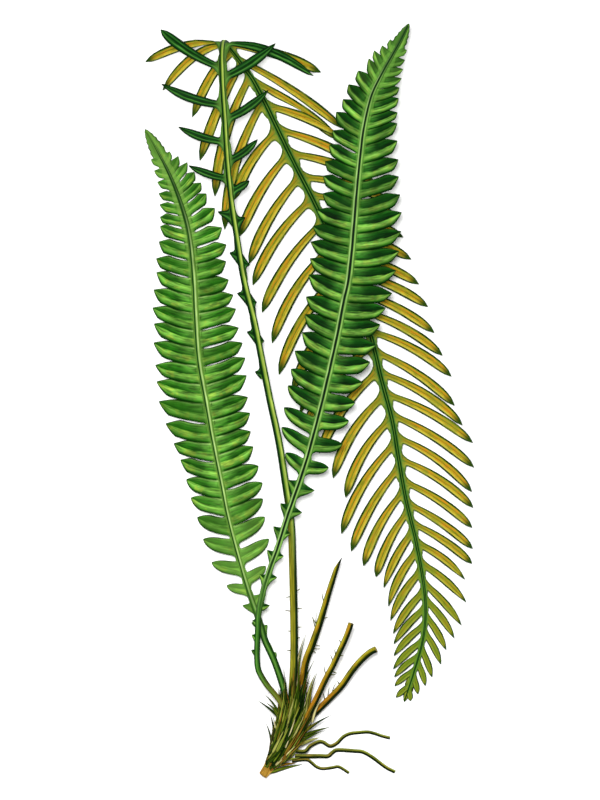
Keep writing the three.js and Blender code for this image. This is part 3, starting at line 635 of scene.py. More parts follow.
# %% One leaflet's midrib and edges
class Leaflet:
    """One leaflet, read at t from 0 in the rib to 1 at its tip."""

    def __init__(self, frond, row, number, draw):
        self.along = keyed(row["along"], number)
        self.length = keyed(row["length"], number) * (1 + draw.uniform(-1, 1) * UNEVEN["length"])
        self.point, forward, self.face, right = rib_frame(frond, self.along)
        angle = math.radians(keyed(row["angle"], self.along) + draw.uniform(-1, 1) * UNEVEN["angle"])
        out = right * row["side"]
        self.chord = forward * math.cos(angle) + out * math.sin(angle)
        self.ahead = forward * math.sin(angle) - out * math.cos(angle)
        self.bow = keyed(row["bow"], self.along) + draw.uniform(-1, 1) * UNEVEN["bow"]
        self.lift = keyed(row["lift"], self.along)
        self.droop = keyed(row["droop"], self.along)
        self.twist = math.radians(keyed(row.get("twist", NO_TWIST), self.along))
        self.width = keyed(row["width"], self.along)
        if self.length >= EAR:
            self.width *= keyed(row["fullness"], self.along)
        self.wing = min(keyed(row["wing"], self.along), WING_SHARE * self.length)
        pitch = abs(keyed(row["along"], number + 1) - keyed(row["along"], number - 1)) / 2
        self.open = min(max((pitch - self.width) / 2, LEAST_CORNER), keyed(row["round"], self.along))
        self.edges = (row["edge_behind"], row["edge_ahead"])
        self.gap_before = self.gap_after = 0
        if self.length < EAR and number < row["count"] / 2:
            self.edges = (EAR_EDGE, EAR_EDGE)
        elif self.along < row["low_until"]:
            self.edges = (LOW_EDGE, LOW_EDGE)
        elif self.length < row["short"]:
            self.edges = (row["edge_short"], row["edge_short"])

    def midrib(self, t):
        """The place of the midrib."""
        flat = self.chord * t + self.ahead * (self.bow * (t * t - t))
        return self.point + self.length * (flat + self.face * (self.lift * t - self.droop * t * t))

    def turned(self, direction, t):
        """A direction turned with the leaflet's twist about its own line."""
        return Matrix.Rotation(self.twist * min(t / TWISTED, 1), 3, self.chord) @ direction

    def ahead_at(self, t):
        """The direction across the leaflet, towards the frond's tip."""
        return self.turned((self.ahead - self.chord * (self.bow * (2 * t - 1))).normalized(), t)

    def face_at(self, t):
        """The direction out of its upper side."""
        return self.turned(self.face, t)

    def half_width(self, t, side, neighbour):
        """Half the width on one side, kept clear of the neighbour there."""
        wanted = self.width / 2 * keyed(self.edges[1 if side > 0 else 0], t)
        there = t * self.length / neighbour.length if neighbour else 1
        if there >= 1:
            return wanted
        rise = self.face * (self.lift - 2 * self.droop * t)
        run = self.chord + self.ahead * (self.bow * (2 * t - 1)) + rise
        apart = neighbour.midrib(there) - self.midrib(t)
        opening = (self.gap_after if side > 0 else self.gap_before) * keyed(OPENING, t)
        clear = ((apart - apart.project(run)).length - SLIT - opening) / 2
        return max(min(wanted, clear), min(wanted, HALF_WIDTH))

    def beside(self, t, offset):
        """A place beside the midrib, where the blade folds down a little."""
        return self.midrib(t) + self.ahead_at(t) * offset - self.face_at(t) * (FOLD * abs(offset))


sample_row = left_frond["rows"][0]
sample = [Leaflet(left_frond, sample_row, number, random.Random(0)) for number in (12, 13)]
print("two neighbours are", [round(leaf.length, 1) for leaf in sample], "mm long")


# %% Where two neighbours meet
def meeting_lines(frond, row, leaflets):
    """For each gap between leaflets, its root in the rib and the bottom of the gap."""
    lines = []
    last = len(leaflets) - 1
    for number in range(-1, len(leaflets)):
        before = leaflets[max(number, 0)]
        after = leaflets[min(number + 1, last)]
        inner = 0 <= number < last
        reach = min(before.width, before.length) / 2 * (-1 if number < 0 else 1)
        along = (before.along + after.along) / 2 if inner else before.along + reach
        point, _, face, right = rib_frame(frond, along)
        out = right * row["side"]
        gap = point + out * (keyed(frond["radius"], along) + PROUD)
        if inner:
            wings = before.midrib(before.wing / before.length) + after.midrib(after.wing / after.length)
            gap = wings / 2 - face * (FOLD * before.width / 2)
        lines.append((point + out * SUNK, gap))
    return lines


print("two neighbours have", len(meeting_lines(left_frond, sample_row, sample)), "lines beside them")


# %% The stations along a leaflet
CORNER_STEPS = (0.04, 0.15, 0.33, 0.6, 1)  # rows of cells in the rounded corner
CORNER_MOST = 0.9  # the corner takes no more than this share of what the wing leaves
TIP_CROWDING = 1.3  # how the rows crowd towards the tip


def stations(leaf):
    """Places along a leaflet, with the shares of its wing and of its rounded corner."""
    wing = leaf.wing / leaf.length
    corner = min(leaf.open / leaf.length, CORNER_MOST * (1 - wing))
    places = [0, wing / 2, wing, *[wing + corner * share for share in CORNER_STEPS]]
    rest = CELLS_ALONG - len(places) + 1
    start = places[-1]
    for step in range(1, rest + 1):
        places.append(start + (1 - start) * math.sin(math.pi / 2 * step / rest) ** TIP_CROWDING)
    return places, wing, corner


print("a leaflet's stations:", [round(place, 2) for place in stations(sample[0])[0]])


# %% Note on each point what its finish needs
def note_faces(bm, verts, place, tone):
    """Writes the UV maps and place of a new grid. Each vert comes with cm along, across, and share."""
    along_leaf, along_frond = bm.loops.layers.uv["leaflet"], bm.loops.layers.uv["frond"]
    up_frond = bm.verts.layers.float["place"]
    faces = {face for vert in verts for face in vert.link_faces}
    for vert in verts:
        vert[up_frond] = place
    for face in faces:
        face.smooth = True
        for loop in face.loops:
            centimetres, across, share = verts[loop.vert]
            loop[along_leaf].uv = (centimetres, (across + 1) / 2)
            loop[along_frond].uv = (share, tone)
    return list(faces)


# %% Bend a grid into each leaflet
def bend_leaflet(bm, row, leaf, neighbours, lines, place, tone):
    """Adds one leaflet to the sheet: a grid whose points go to their places along and across."""
    places, wing, corner = stations(leaf)
    grid = bmesh.ops.create_grid(bm, x_segments=CELLS_ALONG, y_segments=CELLS_ACROSS, size=1)
    notes = {}
    for vert in grid["verts"]:
        t = places[round((vert.co.x + 1) / 2 * CELLS_ALONG)]
        across = vert.co.y
        side = 1 if across > 0 else -1
        root, gap = lines[1] if side > 0 else lines[0]
        if t <= wing:
            edge = root.lerp(gap, t / wing)
        else:
            half = leaf.half_width(t, side, neighbours[1] if side > 0 else neighbours[0])
            edge = leaf.beside(t, side * half)
            left = 1 - (t - wing) / corner
            if left > 0:
                wide = max((gap - leaf.midrib(wing)).dot(leaf.ahead_at(wing)) * side, half)
                half += (wide - half) * (1 - math.sqrt(1 - left * left))
                miss = gap - leaf.beside(wing, side * wide)
                edge = leaf.beside(t, side * half) + miss * left * left
        swollen = min(max((t - wing) / SWELL_RISES, 0), 1) * min((1 - t) / SWELL_FALLS, 1)
        swell = leaf.face_at(t) * (row["swell"] * math.sin(math.pi * abs(across)) * swollen)
        notes[vert] = (t * leaf.length / 10, across, (t - wing) / (1 - wing))
        vert.co = leaf.midrib(t).lerp(edge, abs(across)) + swell
        vert.co.z = max(vert.co.z, FLOOR)
    faces = note_faces(bm, notes, place, tone)
    if row["side"] < 0:
        bmesh.ops.reverse_faces(bm, faces=faces)


# %% The last lobe, which carries the rib on to the tip
LOBE_EDGE = [
    (0, 0.9), (0.09, 1.04), (0.14, 0.9), (0.3, 1), (0.35, 0.84), (0.48, 0.9), (0.53, 0.72),
    (0.64, 0.74), (0.69, 0.56), (0.79, 0.52), (0.84, 0.38), (0.93, 0.24), (1, 0),
]
LOBE_CELLS = (28, 8)
LOBE_RAISED = 0.12  # it lies this much over the last leaflets
LOBE_LONGER = 2.5  # and reaches this much further down over them
LOBE_FROM = 0.1  # its foot is painted as a leaflet is at this share of its length


def add_end_lobe(bm, frond):
    """A small pointed blade round the end of the rib."""
    grid = bmesh.ops.create_grid(bm, x_segments=LOBE_CELLS[0], y_segments=LOBE_CELLS[1], size=1)
    notes = {}
    for vert in grid["verts"]:
        t = (vert.co.x + 1) / 2
        across = vert.co.y
        along = frond["path"].length - (frond["end_lobe"] + LOBE_LONGER) * (1 - t)
        point, _, face, right = rib_frame(frond, along)
        half = frond["end_width"] * keyed(LOBE_EDGE, t)
        notes[vert] = (t * frond["end_lobe"] / 10, across, LOBE_FROM + (1 - LOBE_FROM) * t)
        vert.co = point - right * (across * half) + face * (LOBE_RAISED - FOLD * abs(across) * half)
        vert.co.z = max(vert.co.z, FLOOR)
    note_faces(bm, notes, 1.0, 0.5)


# %% All leaflets of a frond in one sheet
def sheet_mesh():
    """An empty mesh whose faces and points can carry what a leaf finish reads."""
    bm = bmesh.new()
    bm.loops.layers.uv.new("leaflet")
    bm.loops.layers.uv.new("frond")
    bm.verts.layers.float.new("place")
    return bm


def blade(frond):
    """The frond's leaflets on both sides, merged where neighbours meet, in millimetres."""
    bm = sheet_mesh()
    draw = random.Random(frond["seed"])
    for row in frond["rows"]:
        leaflets = [Leaflet(frond, row, number, draw) for number in range(row["count"])]
        for before, after in zip(leaflets, leaflets[1:]):
            before.gap_after = after.gap_before = draw.choice(frond["gaps"])
        lines = meeting_lines(frond, row, leaflets)
        for number, leaf in enumerate(leaflets):
            before = leaflets[number - 1] if number else None
            after = leaflets[number + 1] if number + 1 < row["count"] else None
            place = leaf.along / frond["path"].length
            meeting = (lines[number], lines[number + 1])
            bend_leaflet(bm, row, leaf, (before, after), meeting, place, draw.random())
    add_end_lobe(bm, frond)
    bmesh.ops.remove_doubles(bm, verts=bm.verts, dist=MEETING)
    return bm


# %% Turn a finished sheet or tube into an object
def make_piece(bm, name, materials, replaces):
    """An object in metres from a mesh in millimetres, riding on the plant."""
    bmesh.ops.scale(bm, vec=(MM, MM, MM), verts=bm.verts)
    mesh = bpy.data.meshes.new(name)
    bm.to_mesh(mesh)
    bm.free()
    piece = bpy.data.objects.new(name, mesh)
    for material in materials:
        mesh.materials.append(material)
    bpy.context.scene.collection.objects.link(piece)
    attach(piece, "root")
    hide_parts(replaces)
    print(name, len(mesh.polygons), "faces")
    return piece


def thicken(piece, thickness, below=0):
    """Gives a sheet its thickness, with the material of its underside."""
    solid = piece.modifiers.new("thickness", "SOLIDIFY")
    solid.thickness = thickness * MM
    solid.offset = 0
    solid.material_offset = below


# %% [markdown]
# ## Leaf finishes
#
# Seen close to, a leaflet isn't one green. Its midrib is a dark line of painted shade that grows wider
# towards the tip. Each half beside it is rounded and painted light where it would turn to the light and
# dark where it would turn away, and the edge is a thin dark line. Near the rib all of that fades into a
# lighter green.
#
# The halves could be separate materials, but then their borders would be hard and alike on every
# leaflet. Here a material reads how far across the leaflet a point is and looks that up in a row of
# colour bands of painted highlight and shade. Long streaks of noise push the bands about, as fine veins
# do.


# %% What every leaf finish reads from the blade
LEAF_STREAKS = {"scale": 1.6, "detail": 3.0, "push": 0.22, "spread": 60.0}


def leaf_reading(tree, fineness):
    """Cm along the leaflet, wavering place across it, share to its tip, its tone, and streaks."""
    leaflet = add_node(tree, "ShaderNodeUVMap", {}, uv_map="leaflet").outputs[0]
    frond = add_node(tree, "ShaderNodeUVMap", {}, uv_map="frond").outputs[0]
    along, across, _ = add_node(tree, "ShaderNodeSeparateXYZ", {"Vector": leaflet}).outputs
    share, tone, _ = add_node(tree, "ShaderNodeSeparateXYZ", {"Vector": frond}).outputs
    seed = times(tree, tone, LEAF_STREAKS["spread"])
    lines = stretched(tree, along, times(tree, across, fineness), seed)
    streaks = noise(tree, lines, LEAF_STREAKS["scale"], LEAF_STREAKS["detail"])
    push = times(tree, calculate(tree, "SUBTRACT", streaks, 0.5), LEAF_STREAKS["push"])
    inside = calculate(tree, "SUBTRACT", 0.25, calculate(tree, "POWER", calculate(
        tree, "SUBTRACT", across, 0.5), 2.0))
    push = times(tree, push, times(tree, inside, 4.0))
    return along, calculate(tree, "ADD", across, push), share, tone, streaks


def from_middle(tree, across):
    """How far a place across is from the midrib."""
    return calculate(tree, "ABSOLUTE", calculate(tree, "SUBTRACT", across, 0.5))


# %% The finish of a sterile leaflet
def sterile_finish(name, shading_near_rib, shading_outer, wing, warm, dark, line, pale_foot):
    """Painted light and shade in green bands across the leaflet, one set near the rib and another further
    out.
    """
    material, tree, _ = new_material(name, 0.6)
    _, across, share, tone, streaks = leaf_reading(tree, 6.0)
    place = stored(tree, "place")
    # painted light and shade: a lit and a shaded half beside the midrib, in bands near the rib and
    # further out
    green = blend(tree, fade(tree, share, -0.05, 0.45), bands(tree, across, shading_near_rib),
                  bands(tree, across, shading_outer))
    # warm patches lie only on the half that is painted lit
    lit_half = times(tree, fade(tree, across, 0.1, 0.22), fade(tree, across, 0.5, 0.4))
    patches = times(tree, lit_half, fade(tree, grain(tree, 260.0), 0.48, 0.64, 0.5))
    green = blend(tree, patches, green, warm)
    green = graded(tree, green, streaks, 0.34, 0.66, 1.5, 0.45)
    green = graded(tree, green, grain(tree, 110.0), 0.4, 0.6, 1.2, 0.8)
    outline = times(tree, fade(tree, from_middle(tree, across), 0.38, 0.47, 0.85),
                    fade(tree, share, 0.1, 0.5))
    green = painted(tree, green, [
        (fade(tree, place, 0.86, 0.97, 0.45), wing),
        (fade(tree, place, 0.42, 0.22, pale_foot), wing),
        (fade(tree, tone, 0.4, 1.0, 0.5), dark),
        (fade(tree, share, 0.02, -0.1, 0.6), wing),
        (outline, line),
        (fade(tree, share, 0.9, 1.0, 0.7), line),
    ])
    return finished(material, green, streaks, 0.5, 0.0006)


# %% The light green of the left frond
light_leaf = sterile_finish(
    "light_green_leaf",
    shading_near_rib=[(0.0, "0c4604"), (0.07, "286a10"), (0.14, "569832"), (0.32, "80b848"), (0.46, "66a036"),
              (0.52, "30741a"), (0.62, "52922e"), (0.86, "66a03e"), (0.93, "a0c870"), (1.0, "14580a")],
    shading_outer=[(0.0, "053804"), (0.07, "0f500a"), (0.16, "448424"), (0.34, "7cb848"), (0.46, "64a036"),
           (0.52, "165804"), (0.66, "266812"), (0.84, "3f8022"), (0.93, "84ba58"), (1.0, "084404")],
    wing=colour("7cac48"), warm=colour("9cb03c"), dark=colour("225b09"), line=colour("0a3a04"),
    pale_foot=0.5)
print("left frond:", light_leaf.name)

# %% The dark green of the right frond
dark_leaf = sterile_finish(
    "dark_green_leaf",
    shading_near_rib=[(0.0, "022a02"), (0.06, "0f4a08"), (0.14, "4c8a28"), (0.3, "80b448"), (0.45, "5c9836"),
              (0.51, "0c4808"), (0.62, "2c6c1c"), (0.85, "4a8a30"), (0.94, "7cb04c"), (1.0, "0c4408")],
    shading_outer=[(0.0, "011a01"), (0.06, "063006"), (0.14, "346e1a"), (0.3, "82b84c"), (0.43, "5c9832"),
           (0.5, "022402"), (0.62, "033003"), (0.78, "0a4408"), (0.9, "1c5c12"), (0.96, "4f8c34"),
           (1.0, "042404")],
    wing=colour("6ca43e"), warm=colour("8ca43c"), dark=colour("0a3e06"), line=colour("053005"),
    pale_foot=0.0)
print("right frond:", dark_leaf.name)

# %% [markdown]
# The fertile frond has two sides. Its upper side is dark green with a paler stripe beside the midrib.
# Its underside carries two long bands of spores, mustard and orange, between thin green edges. Two
# sheets back to back could carry the two finishes, but they would have to be kept from crossing. One
# sheet is enough, because its Solidify modifier gives the underside the second material.


# %% The upper side of a fertile leaflet
def fertile_upper_finish():
    """Dark green with paler stripes along the leaflet."""
    material, tree, _ = new_material("fertile_upper_side", 0.5)
    _, across, share, _, streaks = leaf_reading(tree, 7.0)
    green = bands(tree, across, [
        (0.0, "011e02"), (0.12, "033206"), (0.24, "1c5a18"), (0.32, "58963c"), (0.4, "1c5a18"),
        (0.5, "022802"), (0.62, "083c0a"), (0.72, "347428"), (0.8, "0f4a10"), (1.0, "011e02")])
    green = graded(tree, green, streaks, 0.34, 0.66, 1.4, 0.6)
    green = blend(tree, fade(tree, share, 0.12, -0.06, 0.9), green, colour("6c9c3c"))
    return finished(material, green, streaks, 0.4, 0.0006)


fertile_upper = fertile_upper_finish()
print("upper side:", fertile_upper.name)


# %% The underside of a fertile leaflet, with its two bands of spores
def fertile_under_finish():
    """Mustard and orange spore bands beside the midrib, between green edges."""
    material, tree, _ = new_material("fertile_underside", 0.8, 0.05)
    _, across, share, _, streaks = leaf_reading(tree, 6.0)
    grains = grain(tree, 1800.0)
    ground = bands(tree, across, [
        (0.0, "012402"), (0.13, "063c04"), (0.18, "788c1c"), (0.24, "b8b02c"), (0.33, "d09c1c"),
        (0.43, "a8a424"), (0.49, "38500a"), (0.55, "b0b02c"), (0.66, "d8b828"), (0.76, "dccc48"),
        (0.82, "b8bc50"), (0.87, "063c04"), (1.0, "012402")])
    middle = calculate(tree, "SUBTRACT", fade(tree, across, 0.16, 0.28), fade(tree, across, 0.68, 0.78))
    inside = fade(tree, from_middle(tree, across), 0.38, 0.3)
    near_tip = fade(tree, stored(tree, "place"), 0.84, 0.97, 0.7)
    ground = painted(tree, ground, [
        (times(tree, middle, fade(tree, streaks, 0.52, 0.62, 0.85)), colour("e08c1c")),
        (times(tree, middle, fade(tree, streaks, 0.44, 0.36, 0.8)), colour("7c8418")),
        (fade(tree, grains, 0.5, 0.7, 0.3), colour("8a6a14")),
        (fade(tree, grain(tree, 150.0), 0.5, 0.68, 0.5), colour("8c9828")),
        (fade(tree, share, 0.25, 0.02, 0.5), colour("647c1c")),
        (fade(tree, share, 0.05, -0.05, 0.85), colour("649438")),
        (times(tree, inside, near_tip), colour("5c8c20")),
        (fade(tree, share, 0.82, 0.95, 0.95), colour("0c4408")),
    ])
    return finished(material, ground, grains, 0.7, 0.0004)


fertile_under = fertile_under_finish()
print("underside:", fertile_under.name)

# %% [markdown]
# ## Ribs, stems and roots
#
# A rib could be a curve with a round bevel, but the real one has a groove along its upper side, and its
# finish paints a highlight on one flank, shade on the other and shade in the groove. So each is a tube: a
# circle is drawn round the line's start, its ring of edges is extruded, and each new ring is carried on
# to the next station by a transform. The circle is dented at its top first, and every later ring keeps
# that dent. Each point remembers how far to the side of the tube it is, how near to its top, and how
# many centimetres along, for the finishes to read.


# %% A tube along a smooth line
UPWARDS = [(0, 0, 0, 1)]
ROUND_TUBE = [(0, 1), (180, 1)]
MOST_SIDES = 5  # a face with more sides than this closes the end of a tube


def tube_mesh():
    """An empty mesh whose points can say where round a tube they are."""
    bm = bmesh.new()
    for name in ("side", "top", "run"):
        bm.verts.layers.float.new(name)
    return bm


def add_tube(bm, path, radius, sides=12, spacing=2.0, face=UPWARDS, flat=1.0, profile=ROUND_TUBE,
             pointed=False):
    """Extrudes a ring along a line. The profile dents it by the angle from its top, in degrees."""
    side, top, run = (bm.verts.layers.float[name] for name in ("side", "top", "run"))

    def ring_place(along):
        forward = path.forward(along)
        upward = keyed_direction(face, along)
        across = forward.cross(upward).normalized()
        turn = Matrix((across, across.cross(forward), forward)).transposed().to_4x4()
        wide = keyed(radius, along)
        return Matrix.Translation(path.point(along)) @ turn @ Matrix.Diagonal((wide, wide * flat, 1, 1))

    verts = bmesh.ops.create_circle(bm, cap_ends=True, segments=sides, radius=1)["verts"]
    for vert in verts:
        from_top = math.degrees(math.acos(max(-1, min(1, vert.co.y))))
        vert[side] = vert.co.x
        vert[top] = vert.co.y
        vert.co *= keyed(profile, from_top)
    place = ring_place(0)
    bmesh.ops.transform(bm, matrix=place, verts=verts)
    ring = list({edge for vert in verts for edge in vert.link_edges})
    made = list(verts)
    count = max(2, round(path.length / spacing))
    for step in range(1, count + 1):
        along = path.length * step / count
        grown = bmesh.ops.extrude_edge_only(bm, edges=ring)["geom"]
        verts = [part for part in grown if isinstance(part, bmesh.types.BMVert)]
        ring = [part for part in grown if isinstance(part, bmesh.types.BMEdge) and part.is_boundary]
        following = ring_place(along)
        bmesh.ops.transform(bm, matrix=following @ place.inverted(), verts=verts)
        place = following
        for vert in verts:
            vert[run] = along / 10
        made += verts
    if pointed:
        bmesh.ops.pointmerge(bm, verts=verts, merge_co=path.point(path.length))
        made = [vert for vert in made if vert.is_valid]
    else:
        bmesh.ops.edgeloop_fill(bm, edges=ring)
    faces = list({face for vert in made for face in vert.link_faces})
    bmesh.ops.recalc_face_normals(bm, faces=faces)
    for made_face in faces:
        made_face.smooth = len(made_face.verts) < MOST_SIDES


# %% What every stem finish reads from its tube
STEM_STREAKS = {"scale": 1.3, "detail": 4.0, "push": 0.12}


def stem_reading(tree, fineness):
    """Place from the left flank, 0, to the right one, 1, nearness to the top, cm along, and streaks."""
    side, top, run = (stored(tree, name) for name in ("side", "top", "run"))
    lines = stretched(tree, run, times(tree, side, fineness))
    streaks = noise(tree, lines, STEM_STREAKS["scale"], STEM_STREAKS["detail"])
    push = times(tree, calculate(tree, "SUBTRACT", streaks, 0.5), STEM_STREAKS["push"])
    across = times(tree, calculate(tree, "ADD", side, 1.0), 0.5)
    return calculate(tree, "ADD", across, push), top, run, streaks


# %% The finish of a rib
def rib_finish(name, upper, lower, lower_until, foot, foot_until, tip_from, under=None):
    """Bands of painted highlight and shade from the left flank to the right one, others like them on the
    lower stretch, and a foot tint.
    """
    material, tree, _ = new_material(name, 0.5)
    across, top, run, streaks = stem_reading(tree, 4.0)
    tint = bands(tree, across, upper)
    if under:
        tint = blend(tree, fade(tree, top, 0.1, -0.1), tint, bands(tree, across, under))
    tint = painted(tree, tint, [
        (fade(tree, run, lower_until[1], lower_until[0]), bands(tree, across, lower)),
        (fade(tree, run, foot_until, 0.0, 0.8), foot),
        (fade(tree, run, tip_from, tip_from + 5.0, 0.85), colour("0a3c08")),
    ])
    tint = graded(tree, tint, streaks, 0.34, 0.66, 1.35, 0.65)
    return finished(material, tint, grain(tree, 900.0), 0.3, 0.0003)


# a green stalk painted light down its middle and in shade on both flanks
SHADED_GREEN_STIPE = [(0.0, "042402"), (0.2, "144806"), (0.3, "457c20"), (0.46, "6ca040"), (0.6, "457c20"),
               (0.74, "144806"), (1.0, "042202")]
# each rib's bands paint a dark groove, a highlight and a shaded flank
left_rib = rib_finish(
    "light_rib",
    upper=[(0.0, "3f7a22"), (0.1, "7aa844"), (0.16, "5f9030"), (0.22, "0a4006"), (0.38, "0a4006"),
           (0.45, "6fa03c"), (0.54, "a4c870"), (0.64, "c4e094"), (0.72, "94bc5c"), (0.8, "5c9430"),
           (0.9, "7aa844"), (1.0, "3f7a22")],
    lower=SHADED_GREEN_STIPE, lower_until=(4.0, 9.0), foot=colour("6f7a1e"), foot_until=1.6, tip_from=22.0)
right_rib = rib_finish(
    "dark_rib",
    upper=[(0.0, "4f8c34"), (0.06, "84b458"), (0.22, "a8cc7c"), (0.27, "5f9840"), (0.32, "011a04"),
           (0.62, "011a04"), (0.67, "5f9840"), (0.72, "94c060"), (0.9, "74ac48"), (1.0, "2c6a1c")],
    lower=[(0.0, "062c04"), (0.16, "1c5410"), (0.26, "3c7a24"), (0.42, "6aa03c"), (0.5, "1c5410"),
           (0.6, "3c7a24"), (0.74, "144408"), (1.0, "042404")],
    lower_until=(5.0, 10.0), foot=colour("8a7a24"), foot_until=3.6, tip_from=31.0)
fertile_rib = rib_finish(
    "fertile_rib",
    upper=[(0.0, "022004"), (0.28, "0a360a"), (0.35, "4f7d24"), (0.45, "80a434"), (0.58, "a4bc44"),
           (0.7, "b8cc64"), (0.8, "6c9430"), (0.88, "1c5010"), (1.0, "0a300a")],
    under=[(0.0, "1c5a14"), (0.06, "6ca84c"), (0.15, "3c8028"), (0.21, "032803"), (0.37, "032803"),
           (0.44, "2c6410"), (0.51, "648424"), (0.57, "2c6410"), (0.64, "032803"), (0.79, "032803"),
           (0.85, "3c8028"), (0.94, "6ca84c"), (1.0, "1c5a14")],
    lower=[(0.0, "6c7418"), (0.1, "9d9724"), (0.3, "8c8a1c"), (0.44, "6f7012"), (0.52, "948c1c"),
           (0.62, "818013"), (0.69, "444f0a"), (0.75, "0c2804"), (1.0, "062002")],
    lower_until=(7.5, 12.5), foot=colour("8c6a18"), foot_until=3.0, tip_from=66.0)
print("rib finishes:", left_rib.name, right_rib.name, fertile_rib.name)

# %% Build the fronds
GROOVED = [(0, 0.6), (12, 0.74), (26, 1), (180, 1)]  # a rib's profile, by degrees from its top


def make_frond(frond, name, leaf_materials, rib_material):
    """One frond: its blade sheet and its rib."""
    sheet = make_piece(blade(frond), name + "_blade", leaf_materials, name)
    thicken(sheet, THICKNESS, below=len(leaf_materials) - 1)
    bm = tube_mesh()
    add_tube(bm, frond["path"], frond["rib"], sides=20, face=frond["face"], flat=frond["rib_flat"],
             profile=GROOVED, pointed=True)
    make_piece(bm, name + "_rib", [rib_material], name)


make_frond(left_frond, "sterile_frond_left", [light_leaf], left_rib)
make_frond(right_frond, "sterile_frond_right", [dark_leaf], right_rib)
make_frond(fertile_frond, "fertile_frond", [fertile_upper, fertile_under], fertile_rib)

# %% [markdown]
# ## Old stubs, roots and hairs
#
# Three stubs are what is left of last year's fronds, cut or broken short. They are tubes as the ribs
# are, orange-brown in patches and olive elsewhere, and each ends in a cut with a paler middle. The
# tall one broke off at a slant: a plane cuts its tube there. The three roots are thinner, dark and
# wiry. A few fine hairs stand off the stubs and the fertile stem, each a tube that narrows to a point.

# %% Routes of the stubs and the roots
stubs = {
    "old_stipe_tall": {
        "path": Route([
            (7.5, 17, 4.6), (8.5, 26, 5), (10.5, 43.5, 6.5), (14, 53.5, 7.6), (17.5, 63.5, 8.8),
            (20.5, 73.5, 10), (23.5, 83.5, 11.2), (28, 97.5, 13),
        ]),
        "radius": [(0, 1.95), (40, 1.9), (70, 1.5), (85, 1.1)],
    },
    "old_stipe_middle": {
        "path": Route([
            (8, 12, 9.8), (12, 18.5, 10.6), (17, 28.5, 12), (20.5, 36, 13.2), (24.5, 43.5, 14.6),
            (28, 51, 16), (31, 57.5, 17.4), (33.5, 64.5, 19),
        ]),
        "radius": [(0, 1.7), (65, 1.5)],
    },
    "old_stipe_low": {
        "path": Route([
            (7.5, 8.5, 4), (11, 15, 4.6), (17, 21, 5.6), (23, 27, 6.8), (28.8, 33.2, 8.2),
            (34, 40.7, 9.8), (38.5, 46, 11.2), (43, 50, 12.6), (46, 51.5, 13.4),
        ]),
        "radius": [(0, 1.75), (60, 1.7)],
    },
}
roots = {
    "root_upper": {
        "path": Route([
            (6, 0.5, 6.4), (10.5, 0.5, 5.6), (13, 3, 4.6), (17, 5, 3.2), (19.5, 5, 2.6), (23, 3, 2),
            (26.5, 4.5, 1.6), (29.5, 7.5, 1.3), (33, 9.2, 1.1), (38, 9.8, 0.95), (42, 10, 0.9),
            (45.5, 9.2, 0.85), (49, 8, 0.8), (53, 7, 0.75),
        ]),
        "radius": [(0, 0.8), (50, 0.65)],
    },
    "root_middle": {
        "path": Route([
            (5.5, -2, 4), (9.5, -2, 3.6), (18, -2, 2.2), (22, -2, 1.6), (24.5, 0, 1.3), (27, 1, 1.15),
            (35.5, 0.5, 1), (39.5, 0, 0.95), (44, -2.5, 0.9), (48, -5.5, 0.9), (51.5, -8, 0.85),
            (55.5, -10, 0.8),
        ]),
        "radius": [(0, 0.9), (55, 0.7)],
    },
    "root_lower": {
        "path": Route([
            (4, -4.4, 2.2), (9, -3.8, 1.9), (12, -4, 1.6), (14, -5.5, 1.3), (16.5, -7.5, 1.1),
            (19.5, -8.3, 0.95), (24, -7.8, 0.85), (27, -7.3, 0.8), (29.5, -8.5, 0.75),
            (32.5, -10.5, 0.75),
        ]),
        "radius": [(0, 0.7), (30, 0.6)],
    },
}
print("stubs and roots:", [*stubs, *roots])


# %% Their finish
def bark_finish(name, lit_and_shaded_flanks, low, patch, line):
    """A dry stem: bands of painted highlight and shade from flank to flank, a foot tint, patches and fine
    dark streaks.
    """
    material, tree, _ = new_material(name, 0.7)
    across, _, run, streaks = stem_reading(tree, 5.0)
    # the side that is not painted in shade, where the orange foot tint and patches lie
    lit = fade(tree, across, 0.62, 0.46)
    tint = painted(tree, bands(tree, across, lit_and_shaded_flanks), [
        (times(tree, lit, fade(tree, run, 4.5, 1.5, 0.6)), low),
        (times(tree, lit, fade(tree, grain(tree, 130.0), 0.52, 0.66, 0.5)), patch),
        (fade(tree, streaks, 0.52, 0.62, 0.7), line),
    ])
    tint = graded(tree, tint, streaks, 0.3, 0.6, 1.35, 0.85)
    return finished(material, tint, streaks, 0.8, 0.0005)


# old stalks painted light on the left flank and in deep shade on the right
old_stipe = bark_finish(
    "old_stipe",
    lit_and_shaded_flanks=[(0.0, "34460a"), (0.08, "949424"), (0.2, "d0c440"), (0.33, "ac9e18"), (0.46, "888010"),
            (0.54, "4c5606"), (0.6, "081c02"), (1.0, "041602")],
    low=colour("cc7414"), patch=colour("d48820"), line=colour("34420a"))
# roots painted light along the left flank and in dark shade along the right
root_bark = bark_finish(
    "root_bark",
    lit_and_shaded_flanks=[(0.0, "3c5410"), (0.12, "a8bc50"), (0.28, "a0a438"), (0.4, "7c8424"), (0.48, "3c500c"),
            (0.55, "0c2402"), (1.0, "041202")],
    low=colour("8c8a34"), patch=colour("b08c3c"), line=colour("2c3c0c"))
pith, pith_tree, pith_shader = new_material("pith", 0.8)
pith_tint = blend(pith_tree, grain(pith_tree, 1500.0), colour("a8843c"), colour("dccb8a"))
pith_tree.links.new(pith_tint, pith_shader.inputs["Base Color"])
print("stem finishes:", old_stipe.name, root_bark.name, pith.name)

# %% Build the stubs and the roots
RIDGED = [(0, 1), (30, 0.94), (60, 1), (90, 0.95), (120, 1), (150, 0.94), (180, 1)]
SLANT = {"stub": "old_stipe_tall", "back": 2.6, "lean": (-0.85, 0.6, 0.1)}
CUT_RIM = 0.3
CUT_DEPTH = 0.25
ROOT_WIDER = 1.32
ROOT_FLAT = 0.7

